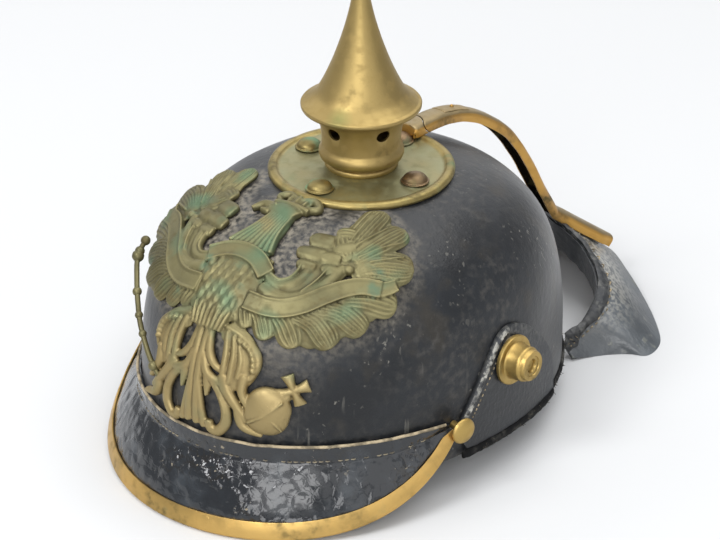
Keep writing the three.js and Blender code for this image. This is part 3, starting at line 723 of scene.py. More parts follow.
def bindingPlace(share, around):
    form = bindingForm
    angle = form["from"] + (form["to"] - form["from"]) * share
    height = rimHeight(angle) + form["height"]
    place = skullPoint(angle, max(height, 0))
    place.z = height
    outward = outwardAt(place)
    outward.z = 0
    wobble = 1 + sum(most * noise.noise(place / size) for most, size in form["lumps"])
    lap = form["overPatch"] * smoothStep(form["patchEnd"] - place.y, 0, form["lapLong"])
    out = form["out"] + lap + form["thick"] * wobble * math.cos(around)
    return place + outward.normalized() * out + Vector((0, 0, form["wide"] * wobble * math.sin(around)))


def randomVector(ranges):
    return Vector([random.uniform(low, high) for low, high in ranges])


def frayFrom(start, form):
    lean, curl = randomVector(form["lean"]), randomVector(form["curl"])
    if form["even"]:
        lean.normalize()
    length = random.uniform(*form["length"])
    tip = start + (lean + curl * form["bend"]) * length * 0.8
    return [start - lean * form["root"], start + lean * length * 0.5, tip]


def makeBinding():
    bm = mappedSheet(bindingForm["columns"], bindingForm["rows"],
                     lambda s, t: bindingPlace(s, 2 * math.pi * t))
    bmesh.ops.recalc_face_normals(bm, faces=bm.faces)
    bmesh.ops.holes_fill(bm, edges=bm.edges, sides=0)
    wear = [bindingForm["wear"] * max(noise.noise(vert.co / 5), 0) for vert in bm.verts]
    piece = addPiece(bm, "rim_binding", None, "rear_leather", boundLeather)
    setAttribute(piece, "wear", wear)
    random.seed(11)
    form = bindingFray
    frays = []
    for _ in range(form["count"]):
        share = random.uniform(*form["share"])
        frays.append(frayFrom(bindingPlace(share, random.uniform(*form["around"])), form))
    addStrands("rim_frays", frays, form["radius"], darkThread)


makeBinding()
print("rim binding ready")


# Spike on its round base

baseForm = {"radius": 45.7, "under": 110.5, "top": 112.4, "dent": 0.18, "dentSize": 9,
            "well": 0.75, "patchy": 0.4, "wellFrom": 4.2, "wellFull": 6}
studForm = {"radius": 6.8, "height": 4.3, "place": 32, "brim": 0.5}
studPlaces = {"front": (-math.pi / 2, 1.5, studGreen), "left": (0, 0, studCopper),
              "back": (math.pi / 2, 0, studCopper), "right": (math.pi, 0, studGreen)}  # turn, reach, metal


def onSpikeLine(bm):
    return shift(bm, (0, crownShift, 0))


def makeBase():
    form = baseForm
    edge, under, top = form["radius"], form["under"], form["top"]
    rows = [(0, under), (edge - 2.4, under), (edge - 1.6, under - 0.8), (edge - 0.6, under - 0.8),
            (edge - 0.1, under), (edge, under + 0.8), (edge - 0.3, under + 1.7), (edge - 1, under + 2.4),
            (edge - 2.2, under + 2.75), (edge - 3.6, under + 2.75), (edge - 4.4, under + 2.4),
            (edge - 5, top - 0.3), (edge - 6.4, top - 0.35), (36, top - 0.1), (30, top - 0.12), (24, top),
            (19.6, top + 0.35), (0, top + 0.35)]  # radius and height: underside, rolled rim, well, seat
    bm = spunPiece(rows, 140)
    well = []
    for vert in bm.verts:
        if vert.co.z > under + 0.5:
            vert.co.z += form["dent"] * noise.noise(vert.co / form["dentSize"])
        patchy = form["well"] + form["patchy"] * noise.noise(vert.co / 10)
        inward = edge - math.hypot(vert.co.x, vert.co.y)
        well.append(patchy * smoothStep(inward, form["wellFrom"], form["wellFull"]))
    piece = addPiece(onSpikeLine(bm), "spike_base_plate", "spike_base", "base_brass", baseBrass)
    setAttribute(piece, "well", well)


def makeBaseStuds():
    radius, brim = studForm["radius"], studForm["brim"]
    rows = [(0, 0), (radius, 0), (radius + 0.2, brim * 0.5), (radius, brim), (radius * 0.93, brim + 0.1)]
    rows += domeRows(radius * 0.9, studForm["height"] - brim, brim + 0.1)
    for name, (turn, past, material) in studPlaces.items():
        reach = studForm["place"] + past
        bm = onSpikeLine(spunPiece(rows, 40))
        shift(bm, (reach * math.cos(turn), reach * math.sin(turn), baseForm["top"] + trimForm["gap"]))
        addPiece(bm, "domed_stud_" + name, "base_stud_" + name, "base_brass", material)


neckForm = {"foot": 113.4, "sheet": 1.2}
neckRows = [(17.4, -0.7), (17.9, 0.1), (18, 1.1), (17.6, 2), (16.6, 2.5), (16.6, 2.9), (18.4, 3.4),
            (20.1, 4.6), (20.8, 6.4), (20.7, 8), (20, 9.6), (19.3, 10.4), (19.2, 11.4), (19.3, 15),
            (19.8, 20), (20.7, 24), (22.4, 27), (24.6, 29), (26.6, 29.8)]  # radius and height above the foot
ventForm = {"count": 5, "first": math.radians(-22), "height": 135.4, "wide": 3.6, "tall": 3.1, "reach": 20,
            "deep": 16, "rim": 0.35, "sides": 28}


def ventDrills():
    form = ventForm
    drills = bmesh.new()
    for k in range(form["count"]):
        turn = form["first"] + 2 * math.pi * k / form["count"]
        made = bmesh.ops.create_cone(drills, cap_ends=True, segments=form["sides"], radius1=1, radius2=1,
                                     depth=form["deep"])
        place = (Matrix.Translation((0, crownShift, form["height"])) @ Matrix.Rotation(turn, 4, "Z")
                 @ Matrix.Translation((form["reach"], 0, 0)) @ Matrix.Rotation(math.pi / 2, 4, "Y")
                 @ Matrix.Diagonal((form["tall"], form["wide"], 1, 1)))
        bmesh.ops.transform(drills, matrix=place, verts=made["verts"])
    return addObject("vent_drills", meshFrom(placeInFrame(drills), "vent_drills"))


def makeNeck():
    outer = [(radius, neckForm["foot"] + up) for radius, up in neckRows]
    inner = [(radius - neckForm["sheet"], height) for radius, height in reversed(outer)]
    bm = onSpikeLine(spunPiece(outer + inner, 112, ring=True))
    tube = addPiece(bm, "pierced_neck", "spike_neck", "spike_brass", spikeBrass)
    drill = ventDrills()
    cut = tube.modifiers.new("vents", "BOOLEAN")
    cut.object = drill
    cut.operation = "DIFFERENCE"
    cut.solver = "EXACT"
    pierced = finishedMesh(tube)
    tube.modifiers.clear()
    tube.data = pierced
    bpy.data.objects.remove(drill)
    roundEdges(tube, ventForm["rim"])


spikeForm = {"lip": 143.6, "tip": 217.2, "sheet": 1.5, "solidUnder": 4, "stain": (6, -29, 148),
             "stainReach": 9, "stainMost": 0.6}
lipRows = [(28.3, 0.1), (28.9, 0.3), (29.2, 0.8), (29.3, 2.2), (29, 2.6), (28.4, 2.8)]  # radius, height
spikeRows = [(27.6, 3.1), (25, 5.1), (21.7, 8.4), (18.2, 14.7), (14.6, 22.6), (11.6, 30.4), (9, 38.1),
             (6.8, 45.8), (5, 53.4), (3.7, 61), (2.8, 68)]
tipRows = [(2.6, 70.6), (1.9, 72.4), (1, 73.3)]


def makeSpike():
    form = spikeForm
    cone = smoothRows(spikeRows, 70)
    hollow = [(radius - form["sheet"], up - 0.3) for radius, up in cone if radius > form["solidUnder"]]
    rows = [(0, hollow[-1][1] + 2)] + hollow[::-1] + [(hollow[0][0], 0.3)] + lipRows + cone + tipRows
    rows = [(radius, form["lip"] + up) for radius, up in rows] + [(0, form["tip"])]
    bm = onSpikeLine(spunPiece(rows, 128))
    away = [(vert.co - Vector(form["stain"])).length / form["stainReach"] for vert in bm.verts]
    piece = addPiece(bm, "spun_spike", "spike", "spike_brass", spikeBrass, sharp=60)
    setAttribute(piece, "stain", [form["stainMost"] * (1 - part) for part in away])


makeBase()
makeBaseStuds()
makeNeck()
makeSpike()
print("spike ready")


# Rear spine, sprung away from the skull, with the torn rear visor under its foot

spineForm = {"width": 13, "depth": 6, "sheet": 1, "bow": -0.1, "leg": 0.14, "shoulder": (0.85, 0.9),
             "rootPinch": 0.2, "footPinch": 0.3, "rootClose": (-0.003, 0.012), "archShare": 0.8,
             "steps": 200, "rootSteps": 14, "rows": 26, "crackAt": 0.056, "crackWide": 0.003,
             "crackBend": 0.012, "lap": 0.15, "dent": (0.1, 0, 0.25), "dentSize": 8, "topFrom": 0.45,
             "topFull": 0.8}
spineArch = [(0, 33.6, 116.6), (1, 62, 114.6), (4, 84, 107.8), (9, 105, 93), (13, 119, 74), (16, 132, 50.5),
             (17.5, 143, 33)]
spineFoot = (35, 175, 6.9)
# the dust entries pale the rear visor towards its top: some dust, and painted sheen on the upper part
rearForm = {"x": 17, "y": 144, "swing": math.radians(27), "wall": 2.4, "bulge": 0.8, "deep": 45,
            "columns": 150, "rows": 40, "wave": 0.35, "waveSize": 9, "waveEnd": 0.2,
            "dust": 0.9, "dustAndSheenFrom": -10, "dustAndSheenFull": 14}


def spineCentre(share):
    arch = spineForm["archShare"]
    if share < arch:
        return Vector(curveThrough(spineArch, share / arch))
    return Vector(spineArch[-1]).lerp(Vector(spineFoot), (share - arch) / (1 - arch))


def spinePlace(share, around, lift=0):
    form = spineForm
    centre = spineCentre(share)
    forward = (spineCentre(min(share + 0.02, 1)) - spineCentre(max(share - 0.02, 0))).normalized()
    swung = Vector((math.cos(rearForm["swing"]), -math.sin(rearForm["swing"]), 0))
    across = Vector((1, 0, 0)).lerp(swung, min(share / form["archShare"], 1))
    across = (across - forward * across.dot(forward)).normalized()
    up = across.cross(forward)
    half = form["width"] / 2 + lift
    half *= 1 - form["footPinch"] * smoothStep(share, 0.96, 1)
    half *= 1 - form["rootPinch"] * (1 - smoothStep(share, 0, 0.02))
    foot = -form["depth"] / 2
    crown = foot + (form["depth"] + lift) * smoothStep(share, *form["rootClose"])
    bow, leg = crown * form["bow"], form["leg"]
    if around < leg:
        x, z = -half, foot + (bow - foot) * around / leg
    elif around > 1 - leg:
        x, z = half, bow + (foot - bow) * (around - 1 + leg) / leg
    else:
        turn = math.pi * (around - leg) / (1 - 2 * leg)
        wide, tall = form["shoulder"]
        x = -half * math.copysign(abs(math.cos(turn)) ** wide, math.cos(turn))
        z = bow + (crown - bow) * math.sin(turn) ** tall
    return centre + across * x + up * z


def makeSpine():
    form = spineForm

    def crackPlace(around):
        return form["crackAt"] + form["crackBend"] * math.sin(2.6 * math.pi * (around - 0.2))

    def root(s, t):
        return spinePlace(s * crackPlace(t), t)

    def arch(s, t):
        start = crackPlace(t) + form["crackWide"]
        return spinePlace(start + (1 - start) * s, t, form["lap"])

    whole = bmesh.new()
    for steps, shape in ((form["rootSteps"], root), (form["steps"], arch)):
        part = mappedSheet(steps, form["rows"], shape)
        if part.faces[0].normal.x > 0:
            bmesh.ops.reverse_faces(part, faces=part.faces)
        joinTo(whole, part)
    whole.normal_update()
    top = [smoothStep(vert.normal.z, form["topFrom"], form["topFull"]) for vert in whole.verts]
    for vert in whole.verts:
        vert.co += Vector(form["dent"]) * noise.noise(vert.co / form["dentSize"])
    piece = addPiece(whole, "sprung_spine", "rear_spine", "spine_brass", spineBrass, shadedRawBrass)
    setAttribute(piece, "top", top)
    giveWall(piece, form["sheet"], 0.2, inside=1)


slideForm = {"from": 0.125, "to": 0.235, "low": 0.36, "high": 0.64, "lift": 0.45, "wall": 0.5,
             "columns": 40, "rows": 14, "worn": 0.8, "knob": 1.1, "shank": -0.5}


def makeVentSlide():
    form = slideForm
    long, wide, knob = form["to"] - form["from"], form["high"] - form["low"], form["knob"]
    bm = mappedSheet(form["columns"], form["rows"], lambda s, t: spinePlace(
        form["from"] + long * s, form["low"] + wide * t, form["lift"]))
    if bm.faces[0].normal.z < 0:
        bmesh.ops.reverse_faces(bm, faces=bm.faces)
    slide = addPiece(bm, "vent_slide", None, "spine_brass", spineBrass)
    setAttribute(slide, "top", [form["worn"]] * len(slide.data.vertices))
    giveWall(slide, form["wall"], 0.3)
    rows = [(0, form["shank"]), (knob, form["shank"])] + domeRows(knob, knob, 0, 6)
    bm = shift(spunPiece(rows, 20), spinePlace((form["from"] + form["to"]) / 2, 0.5, form["lift"]))
    addPiece(bm, "vent_slide_knob", None, "spine_brass", spineBrass)


rearRows = [((0, 2, 26.2), (0, 40, -1.8)), ((14, 4.5, 23.6), (17, 39.6, -6)),
            ((26, 6.5, 19.8), (34, 38.4, -11.4)), ((43, 4, 14), (56, 33.5, -15.6)),
            ((54, -1.5, 8), (77, 24, -16.5)), ((60, -9, 3), (86, 11, -16.5)), ((64, -17, -2), (80, 2, -16.5)),
            ((67, -25, -7), (75, -12, -16.4)), ((68.5, -29, -10), (73.5, -27, -14.6))]
# root and edge on the visor's own axes, middle to end: across, back and height


def mirrorAcross(row):
    return tuple((-across, back, height) for across, back, height in row)


rearSpread = [mirrorAcross(row) for row in rearRows[:0:-1]] + rearRows
rearRoots = [root for root, edge in rearSpread]
rearEdges = [edge for root, edge in rearSpread]


def rearOn(rows, share):
    across, back, height = curveThrough(rows, share)
    sin, cos = math.sin(rearForm["swing"]), math.cos(rearForm["swing"])
    x, y = rearForm["x"] + cos * across + sin * back, rearForm["y"] - sin * across + cos * back
    return Vector((x, y, height))


def rearPlace(share, down, lift=0):
    root, edge = rearOn(rearRoots, share), rearOn(rearEdges, share)
    swell = rearForm["bulge"] * (edge - root).length / rearForm["deep"]
    place = root.lerp(edge, down) + Vector((0, 0, swell * math.sin(math.pi * down)))
    if lift:
        along = rearOn(rearRoots, min(share + 0.01, 1)) - rearOn(rearRoots, share - 0.01)
        place += along.cross(edge - root).normalized() * lift
    place.z = max(place.z, tableHeight + 0.05)
    return place


def upright(bm):
    if sum(face.normal.z * face.calc_area() for face in bm.faces) < 0:
        bmesh.ops.reverse_faces(bm, faces=bm.faces)
    return bm


def keepOnTable(piece):
    # the leather lies flat where its corners reach the table
    mesh = finishedMesh(piece)
    piece.modifiers.clear()
    piece.data = mesh
    for vert in mesh.vertices:
        vert.co.z = max(vert.co.z, 0)


def makeRearVisor():
    form = rearForm

    def shape(s, t):
        place = rearPlace(s, t)
        wave = form["wave"] * noise.noise(place / form["waveSize"])
        wave *= smoothStep(t, 0, form["waveEnd"]) * smoothStep(1 - t, 0, form["waveEnd"])
        return place + Vector((0, 0, wave))

    bm = upright(mappedSheet(form["columns"], form["rows"], shape))
    # the leather is paled more the higher it lies: a little dust, and mostly painted sheen on the upper part
    wear = [form["dust"] * smoothStep(vert.co.z, form["dustAndSheenFrom"], form["dustAndSheenFull"]) for vert in bm.verts]
    piece = addPiece(bm, "torn_rear_visor", "rear_visor", "rear_leather", neckLeather, undyedHide)
    setAttribute(piece, "wear", wear)
    giveWall(piece, form["wall"], 0.5, inside=1)
    keepOnTable(piece)


foldForm = {"seed": 8, "deep": 0.17, "start": -0.03, "lift": 1.6, "wall": 1.6, "columns": 220, "rows": 14,
            "crumple": 0.9, "crumpleSize": 3.4, "waves": ((0.14, 19), (0.1, 47)), "tornFrom": 0.86,
            "tornFull": 0.98, "tornDeep": 1.4, "tornBack": 0.2, "tornRise": 4, "wear": (0.05, 0.3)}


def makeRearFold():
    # the torn edge, folded over and crumpled towards the near end
    form = foldForm
    noise.seed_set(form["seed"])  # vector noise starts from the clock without it

    def fold(s, t):
        torn = smoothStep(s, form["tornFrom"], form["tornFull"])
        depth = form["deep"] * (1 + sum(most * math.sin(turns * s) for most, turns in form["waves"]))
        depth *= 1 + form["tornDeep"] * smoothStep(s, form["tornFrom"], 1)
        start = form["start"] - form["tornBack"] * torn * (1 - t)
        place = rearPlace(s, start + depth * t, form["lift"] * (0.6 + 0.7 * math.sin(math.pi * t)))
        place.z += form["tornRise"] * torn * (1 - t)
        ragged = form["crumple"] * (0.5 + 1.3 * smoothStep(s, 0.84, 1))
        place += noise.noise_vector(place / form["crumpleSize"]) * ragged
        place.z = max(place.z, tableHeight + 0.1)
        return place

    bm = upright(mappedSheet(form["columns"], form["rows"], fold))
    least, patchy = form["wear"]
    wear = [least + patchy * max(noise.noise(vert.co / 6), 0) for vert in bm.verts]
    piece = addPiece(bm, "rear_visor_fold", None, "rear_leather", harnessLeather, undyedHide)
    setAttribute(piece, "wear", wear)
    giveWall(piece, form["wall"], 0.5, even=False)


seamShadeForm = {"deep": 14, "drop": 0.6, "wall": 1.2, "columns": 220, "rows": 10, "ragged": 0.12, "ends": 0.7}


def makeRearSeamShade():
    # a dark strip hung inside the torn edge as its seam allowance; it is there mostly as painted shade, to
    # darken the gap under the visor
    form = seamShadeForm

    def seam(s, t):
        ragged = 1 + form["ragged"] * noise.noise(Vector((s * 30, 0, 4)))
        deep = form["deep"] * math.sin(math.pi * s) ** form["ends"] * ragged
        place = rearPlace(s, -0.01)
        place.z = max(place.z - form["drop"] - deep * t, tableHeight + 0.1)
        return place

    bm = mappedSheet(form["columns"], form["rows"], seam)
    piece = addPiece(bm, "rear_visor_seam_shade", None, "rear_leather", harnessLeather)
    setAttribute(piece, "wear", [0.0] * len(piece.data.vertices))
    giveWall(piece, form["wall"], 0.3, even=False)


rearStitch = {"count": 46, "from": 0.03, "long": 0.94, "half": 0.004, "radius": 0.4, "down": 0.17,
              "stray": 0.015, "end": 0.68, "top": 1.78}
rearFray = {"count": 16, "share": (0.93, 1.0), "down": (0, 0.12), "lift": 1.2,
            "lean": ((-1, 0.3), (-1, 0.2), (-0.2, 0.9)), "curl": ((-1, 1), (-1, 1), (-1, 1)),
            "length": (2, 6), "root": 0, "bend": 0.6, "even": False, "radius": 0.16}


def makeRearSewing():
    random.seed(8)
    form = rearStitch
    bends = ((-form["half"], form["end"]), (0, form["top"]), (form["half"], form["end"]))
    stitches = []
    for k in range(form["count"]):
        middle = form["from"] + form["long"] * k / (form["count"] - 1)
        down = form["down"] + random.uniform(-form["stray"], form["stray"])
        stitches.append([rearPlace(middle + along, down, lift) for along, lift in bends])
    addStrands("rear_visor_stitches", stitches, form["radius"], paleThread)
    form = rearFray
    frays = []
    for _ in range(form["count"]):
        share = random.uniform(*form["share"])
        frays.append(frayFrom(rearPlace(share, random.uniform(*form["down"]), form["lift"]), form))
    addStrands("rear_visor_frays", frays, form["radius"], paleThread)


makeSpine()
makeVentSlide()
makeRearVisor()
makeRearFold()
makeRearSeamShade()
makeRearSewing()
print("rear spine and visor ready")


# Eagle plate: strokes laid out flat, melted into one sheet, then bent round the skull

plateForm = {"lift": 0.5, "lean": math.radians(30), "bend": 112, "shift": -2, "y": -20, "z": 15,
             "stand": 4, "halfSpan": 80, "rightScale": 0.95, "voxel": 0.46, "grid": 0.6, "tailLift": 2.2,
             "keep": 0.53}

# path on the plate, widths along it, height, and what its face carries
pairedStrokes = [
    # low web that joins the feathers
    {"path": [(46, 56), (51, 68), (56, 86)], "wide": (16, 26, 24), "rise": 1.7},
    {"path": [(54, 47), (64, 56), (73, 66)], "wide": (16, 28, 22), "rise": 1.7},
    {"path": [(50, 31), (62, 36), (73, 40)], "wide": (16, 22, 16), "rise": 1.7},
    {"path": [(36, 22), (50, 24), (64, 22)], "wide": (14, 20, 14), "rise": 1.7},
    {"path": [(18, 15), (36, 15), (53, 12)], "wide": (10, 15, 11), "rise": 1.7},
    {"path": [(22, 28), (38, 35), (42.5, 50), (42, 64)], "wide": (8, 14, 20, 17), "rise": 1.9},
    # flight feathers, top to body
    {"path": [(46, 58), (48, 75), (49.5, 92)], "wide": (10, 16, 17), "rise": 2.5, "ribs": 4, "tilt": -0.4},
    {"path": [(51, 55), (58, 68.5), (66, 84)], "wide": (9, 15, 19), "rise": 2.5, "ribs": 4, "tilt": -0.4},
    {"path": [(55, 50), (66, 57.5), (80, 62)], "wide": (9, 18, 22), "rise": 2.5, "ribs": 5, "tilt": -0.4},
    {"path": [(55, 34), (66, 38.5), (79.5, 40)], "wide": (9, 14, 17), "rise": 2.5, "ribs": 3, "tilt": -0.4},
    {"path": [(45, 26), (57, 27.5), (70, 23)], "wide": (10, 14, 16), "rise": 2.5, "ribs": 4, "tilt": -0.4},
    {"path": [(37, 20), (48, 19), (58.5, 11)], "wide": (10, 14, 15.5), "rise": 2.5, "ribs": 4, "tilt": -0.4},
    {"path": [(29, 18), (36, 14), (43, 5.5)], "wide": (9, 13, 14), "rise": 2.5, "ribs": 3, "tilt": -0.4},
    {"path": [(20, 16.5), (25, 12), (29.5, 4.5)], "wide": (8, 10, 11), "rise": 2.5, "ribs": 3, "tilt": -0.4},
    {"path": [(14, 16), (16.5, 12), (19, 6.5)], "wide": (8, 9, 9), "rise": 2.5, "ribs": 2, "tilt": -0.4},
    {"path": [(9, 14), (11.5, 11), (13, 8)], "wide": (6, 6, 6), "rise": 2.5, "ribs": 2},
    # shafts that stand out on the long feathers
    {"path": [(48, 62), (53, 71), (58, 81)], "wide": (1.6, 1.6, 1.2), "rise": 3.3},
    {"path": [(53, 57), (60, 66), (68, 74)], "wide": (1.6, 1.6, 1.2), "rise": 3.3},
    {"path": [(59, 57), (66, 62), (73, 67)], "wide": (1.4, 1.4, 1), "rise": 3.1},
    {"path": [(60, 50.5), (67, 52), (75, 53.5)], "wide": (1.6, 1.6, 1.2), "rise": 3.3},
    {"path": [(45, 64), (45.5, 76), (46, 87)], "wide": (1.4, 1.4, 1), "rise": 3.1},
    # two bands of the wing's arm and the lip of the gap beside the neck
    {"path": [(17, 27), (26, 24.4), (34, 25.8), (41, 32), (46, 41), (49, 50)],
     "wide": (7, 7.4, 5), "rise": 3.2},
    {"path": [(17.5, 32), (24, 30), (30, 32.5), (33.5, 38), (34.5, 45)], "wide": (4.6, 5, 4.6), "rise": 2.9},
    {"path": [(18, 34), (24, 32.3), (28.4, 35), (30, 40), (29.4, 44)], "wide": (2, 2.2, 2), "rise": 3.3},
    {"path": [(36, 30), (40.5, 38), (43, 47)], "wide": (1.4, 1.4, 1.2), "rise": 3.6},
    # coverts, rounded at the inner edge
    {"path": [(39, 67), (44, 60), (50, 54)], "wide": (12, 14, 8), "rise": 2.7, "ribs": 3},
    {"path": [(38, 61), (32, 60), (25.5, 58.5)], "wide": (9, 9.5, 10), "rise": 3.1},
    {"path": [(38, 52), (31, 51), (23.5, 49.8)], "wide": (8, 8, 7.4), "rise": 3.1},
    {"path": [(37, 44), (32, 44), (27, 43.6)], "wide": (6, 6, 5.4), "rise": 3},
    {"path": [(46, 70), (41, 69), (36, 67)], "wide": (8, 9, 9), "rise": 2.9, "ribs": 2},
    {"path": [(49, 63), (45, 59.5), (41, 57.5)], "wide": (8, 9, 9), "rise": 3.3},
    {"path": [(46, 53), (41, 51.5), (36, 50.5)], "wide": (7, 8, 8), "rise": 3.4},
    {"path": [(47.5, 46), (43, 45.5), (39.5, 44)], "wide": (5, 6, 6), "rise": 3.2},
    {"path": [(51.4, 49), (52.2, 49)], "wide": (5, 5), "rise": 4, "kind": "ball"},
    # bare ribbon
    {"path": [(14, 18.5), (24, 18.3), (32, 20.2), (40, 25.2), (47, 32.2), (54, 38.6), (61, 43), (69.5, 45)],
     "wide": (8.6, 8.6, 8.6), "rise": 3.8, "kind": "ribbon"},
    {"path": [(68, 44.5), (72, 47), (75.5, 50.5)], "wide": (8, 7, 5.5), "rise": 3.2, "kind": "ribbon"},
    # thigh and its plumes
    {"path": [(10, 4), (19, -1), (22.5, -8), (22, -15), (18, -21)], "wide": (9, 16, 8), "rise": 2.7},
    {"path": [(10, 4.5), (20, 2.4), (27.5, -2.6), (29.4, -8.6), (27, -15)], "wide": (3.4, 4, 3), "rise": 3.2},
    {"path": [(12, 3), (14, -7), (14.5, -18)], "wide": (3.4, 3.6, 3.4), "rise": 3.6},
    {"path": [(15.5, 2), (18, -7), (18, -19.5)], "wide": (3, 3.4, 3.2), "rise": 3.8},
    {"path": [(19, -1), (21.8, -8), (21.6, -16)], "wide": (2.8, 3.4, 3), "rise": 3.6},
    # shank and toes
    {"path": [(15, -16), (16.8, -22), (23, -29.5), (29, -36)], "wide": (6.5, 5.5, 4.6), "rise": 3.8},
    {"path": [(25, -13), (25, -22), (31.5, -31.5)], "wide": (5, 4.6, 3.4), "rise": 4},
    {"path": [(24, -31), (27.5, -39), (37, -41.4)], "wide": (5, 5.4, 3), "rise": 4},
    # tail: stem, strands, scroll and lobes
    {"path": [(1.9, 6), (1.7, -20), (2.6, -46)], "wide": (3.8, 3.8, 5), "rise": 3.2},
    {"path": [(0, -10), (4.4, -34), (7, -46.6)], "wide": (3, 3.4, 4.6), "rise": 2.8},
    {"path": [(3, 4), (5, -7), (8.6, -12.6), (13, -14.8)], "wide": (3.6, 4, 3.2), "rise": 3},
    {"path": [(2.4, -9), (5.6, -17), (10, -20), (15.4, -20.6)], "wide": (3.8, 4.8, 4.2), "rise": 3.2},
    {"path": [(9.5, -20.5), (14.4, -26), (18, -33.5), (18.4, -40.5), (15, -46), (10.6, -46), (9.4, -41.5)],
     "wide": (4.2, 5.4, 4.6), "rise": 3.2},
    {"path": [(14.6, -27), (17.8, -34), (17.6, -41)], "wide": (1.2, 1.4, 1.2), "rise": 3.7},
    {"path": [(6, -17), (7, -23), (7.4, -29.5)], "wide": (4.4, 4.4, 1.8), "rise": 2.7},
]
singleStrokes = [
    # body, neck, head with beak, crown
    {"path": [(0, 41), (0, 22), (0, 2)], "wide": (34, 32, 20), "rise": 3.4},
    {"path": [(0, 40), (2.5, 52), (3.5, 68)], "wide": (27, 19, 15), "rise": 3.2},
    {"path": [(10, 66.5), (2, 69.8), (-8, 69)], "wide": (12, 12.5, 9), "rise": 4.2},
    {"path": [(-6, 70), (-13, 70), (-17.6, 64.4)], "wide": (7, 5.4, 2), "rise": 3.8},
    {"path": [(-6, 66.6), (-12.5, 66)], "wide": (4.4, 2.4), "rise": 3.4},
    {"path": [(-5, 70.4), (-3.6, 70.4)], "wide": (2.8, 2.8), "rise": 5},
    {"path": [(4, 73), (4, 82)], "wide": (15, 17), "rise": 3},
    {"path": [(-8, 73.4), (4, 74.6), (15, 73.4)], "wide": (3.6, 3.6, 3.6), "rise": 4.4},
    {"path": [(-5, 75), (-9, 78.4), (-4, 82), (3, 80)], "wide": (3.6, 4.2, 3.4), "rise": 3.9},
    {"path": [(12, 75), (18, 78), (13, 82.4), (5, 80)], "wide": (3.6, 4.8, 3.4), "rise": 3.9},
    {"path": [(4, 75), (4, 82.4)], "wide": (3.6, 4), "rise": 4.2},
    {"path": [(9, 75), (9.6, 82)], "wide": (2.4, 2.4), "rise": 3.7},
    {"path": [(-1, 75), (-1.6, 82)], "wide": (2.4, 2.4), "rise": 3.7},
    # bare ribbon over the chest
    {"path": [(-18, 32.5), (-9.5, 37.6), (0, 39.4), (9.5, 37.6), (17.5, 32.2)],
     "wide": (8.4, 8.4, 8.4), "rise": 4.4, "kind": "ribbon"},
    # orb in one claw with its bands
    {"path": [(37.6, -30), (38, -25.6)], "wide": (21, 21), "rise": 6.2, "kind": "ball"},
    {"path": [(29.5, -35), (37, -28.5), (44, -19.5)], "wide": (2, 2.2, 2), "rise": 6.6},
    {"path": [(37, -28.5), (42, -32), (45.6, -35)], "wide": (2, 2, 1.8), "rise": 6.2},
    {"path": [(36.5, -36.5), (41.5, -33), (46, -27)], "wide": (1.6, 1.6, 1.6), "rise": 5.6},
    {"path": [(42, -22), (46, -16)], "wide": (6, 4.4), "rise": 3.4},
]
chestScale = {"rows": 6, "top": 33.5, "step": 4, "room": 13, "taper": 0.9, "gap": 4.6, "long": 6,
              "wide": (4.4, 4.8), "rise": 3.75}
chestFringe = {"count": 8, "gap": 2.8, "top": 11, "low": 1, "draw": 0.75, "wide": 2.6, "rise": 4.1}
neckPlume = {"count": 9, "wide": (2.2, 2.55, 3.4), "rise": 4}
thighBead = {"path": [(19, 0.6), (23, -0.8), (26, -3.4), (27.6, -6.6), (28, -10)], "count": 7, "size": 3,
             "rise": 4.4}
crossForm = {"across": 47.5, "up": -13.5, "arm": 7.6, "turn": math.radians(35), "wide": (2.6, 4.2, 6.6),
             "rise": 3.4}


def moreStrokes():
    rows = []
    form = chestScale
    for k in range(form["rows"]):  # scale feathers, each row set half a scale aside
        up = form["top"] - form["step"] * k
        room = form["room"] - form["taper"] * k
        start = -room + (form["gap"] / 2 if k % 2 else 0)
        for n in range(int((room - start) / form["gap"]) + 1):
            across = start + form["gap"] * n
            rows.append({"path": [(across, up), (across, up - form["long"])], "wide": form["wide"],
                         "rise": form["rise"], "ribs": 2})
    form = chestFringe
    for k in range(form["count"]):
        across = form["gap"] * (k - (form["count"] - 1) / 2)
        rows.append({"path": [(across, form["top"]), (across * form["draw"], form["low"])],
                     "wide": (form["wide"],) * 2, "rise": form["rise"]})
    form = neckPlume
    for k in range(form["count"]):
        part = k / (form["count"] - 1)
        rows.append({"path": [(-2.5 + 12 * part, 67), (-6 + 16 * part, 54), (-13 + 25.5 * part, 42.5)],
                     "wide": form["wide"], "rise": form["rise"]})
    form = thighBead
    for mirror in (1, -1):
        for k in range(form["count"]):
            across, up = curveThrough(form["path"], k / (form["count"] - 1))
            rows.append({"path": [(mirror * (across - 0.5), up + 0.4), (mirror * (across + 0.5), up - 0.4)],
                         "wide": (form["size"],) * 2, "rise": form["rise"], "kind": "ball"})
    form = crossForm
    for k in range(4):
        turn = form["turn"] + math.pi / 2 * k
        ends = [(form["across"] + form["arm"] * part * math.cos(turn),
                 form["up"] + form["arm"] * part * math.sin(turn)) for part in (-0.1, 0.5, 1)]
        rows.append({"path": ends, "wide": form["wide"], "rise": form["rise"], "kind": "flared"})
    return rows


strokeForm = {"startCap": 1.5, "endCap": 0.45, "leafEdge": 0.55, "leafRound": 2.6, "ribbonEdge": 0.86,
              "ribbonLip": (0.72, 0.86), "ballFoot": 0.35, "rib": 0.46}


def strokeLength(path):
    places = [Vector(curveThrough(path, k / 12)) for k in range(13)]
    return sum((b - a).length for a, b in zip(places, places[1:]))


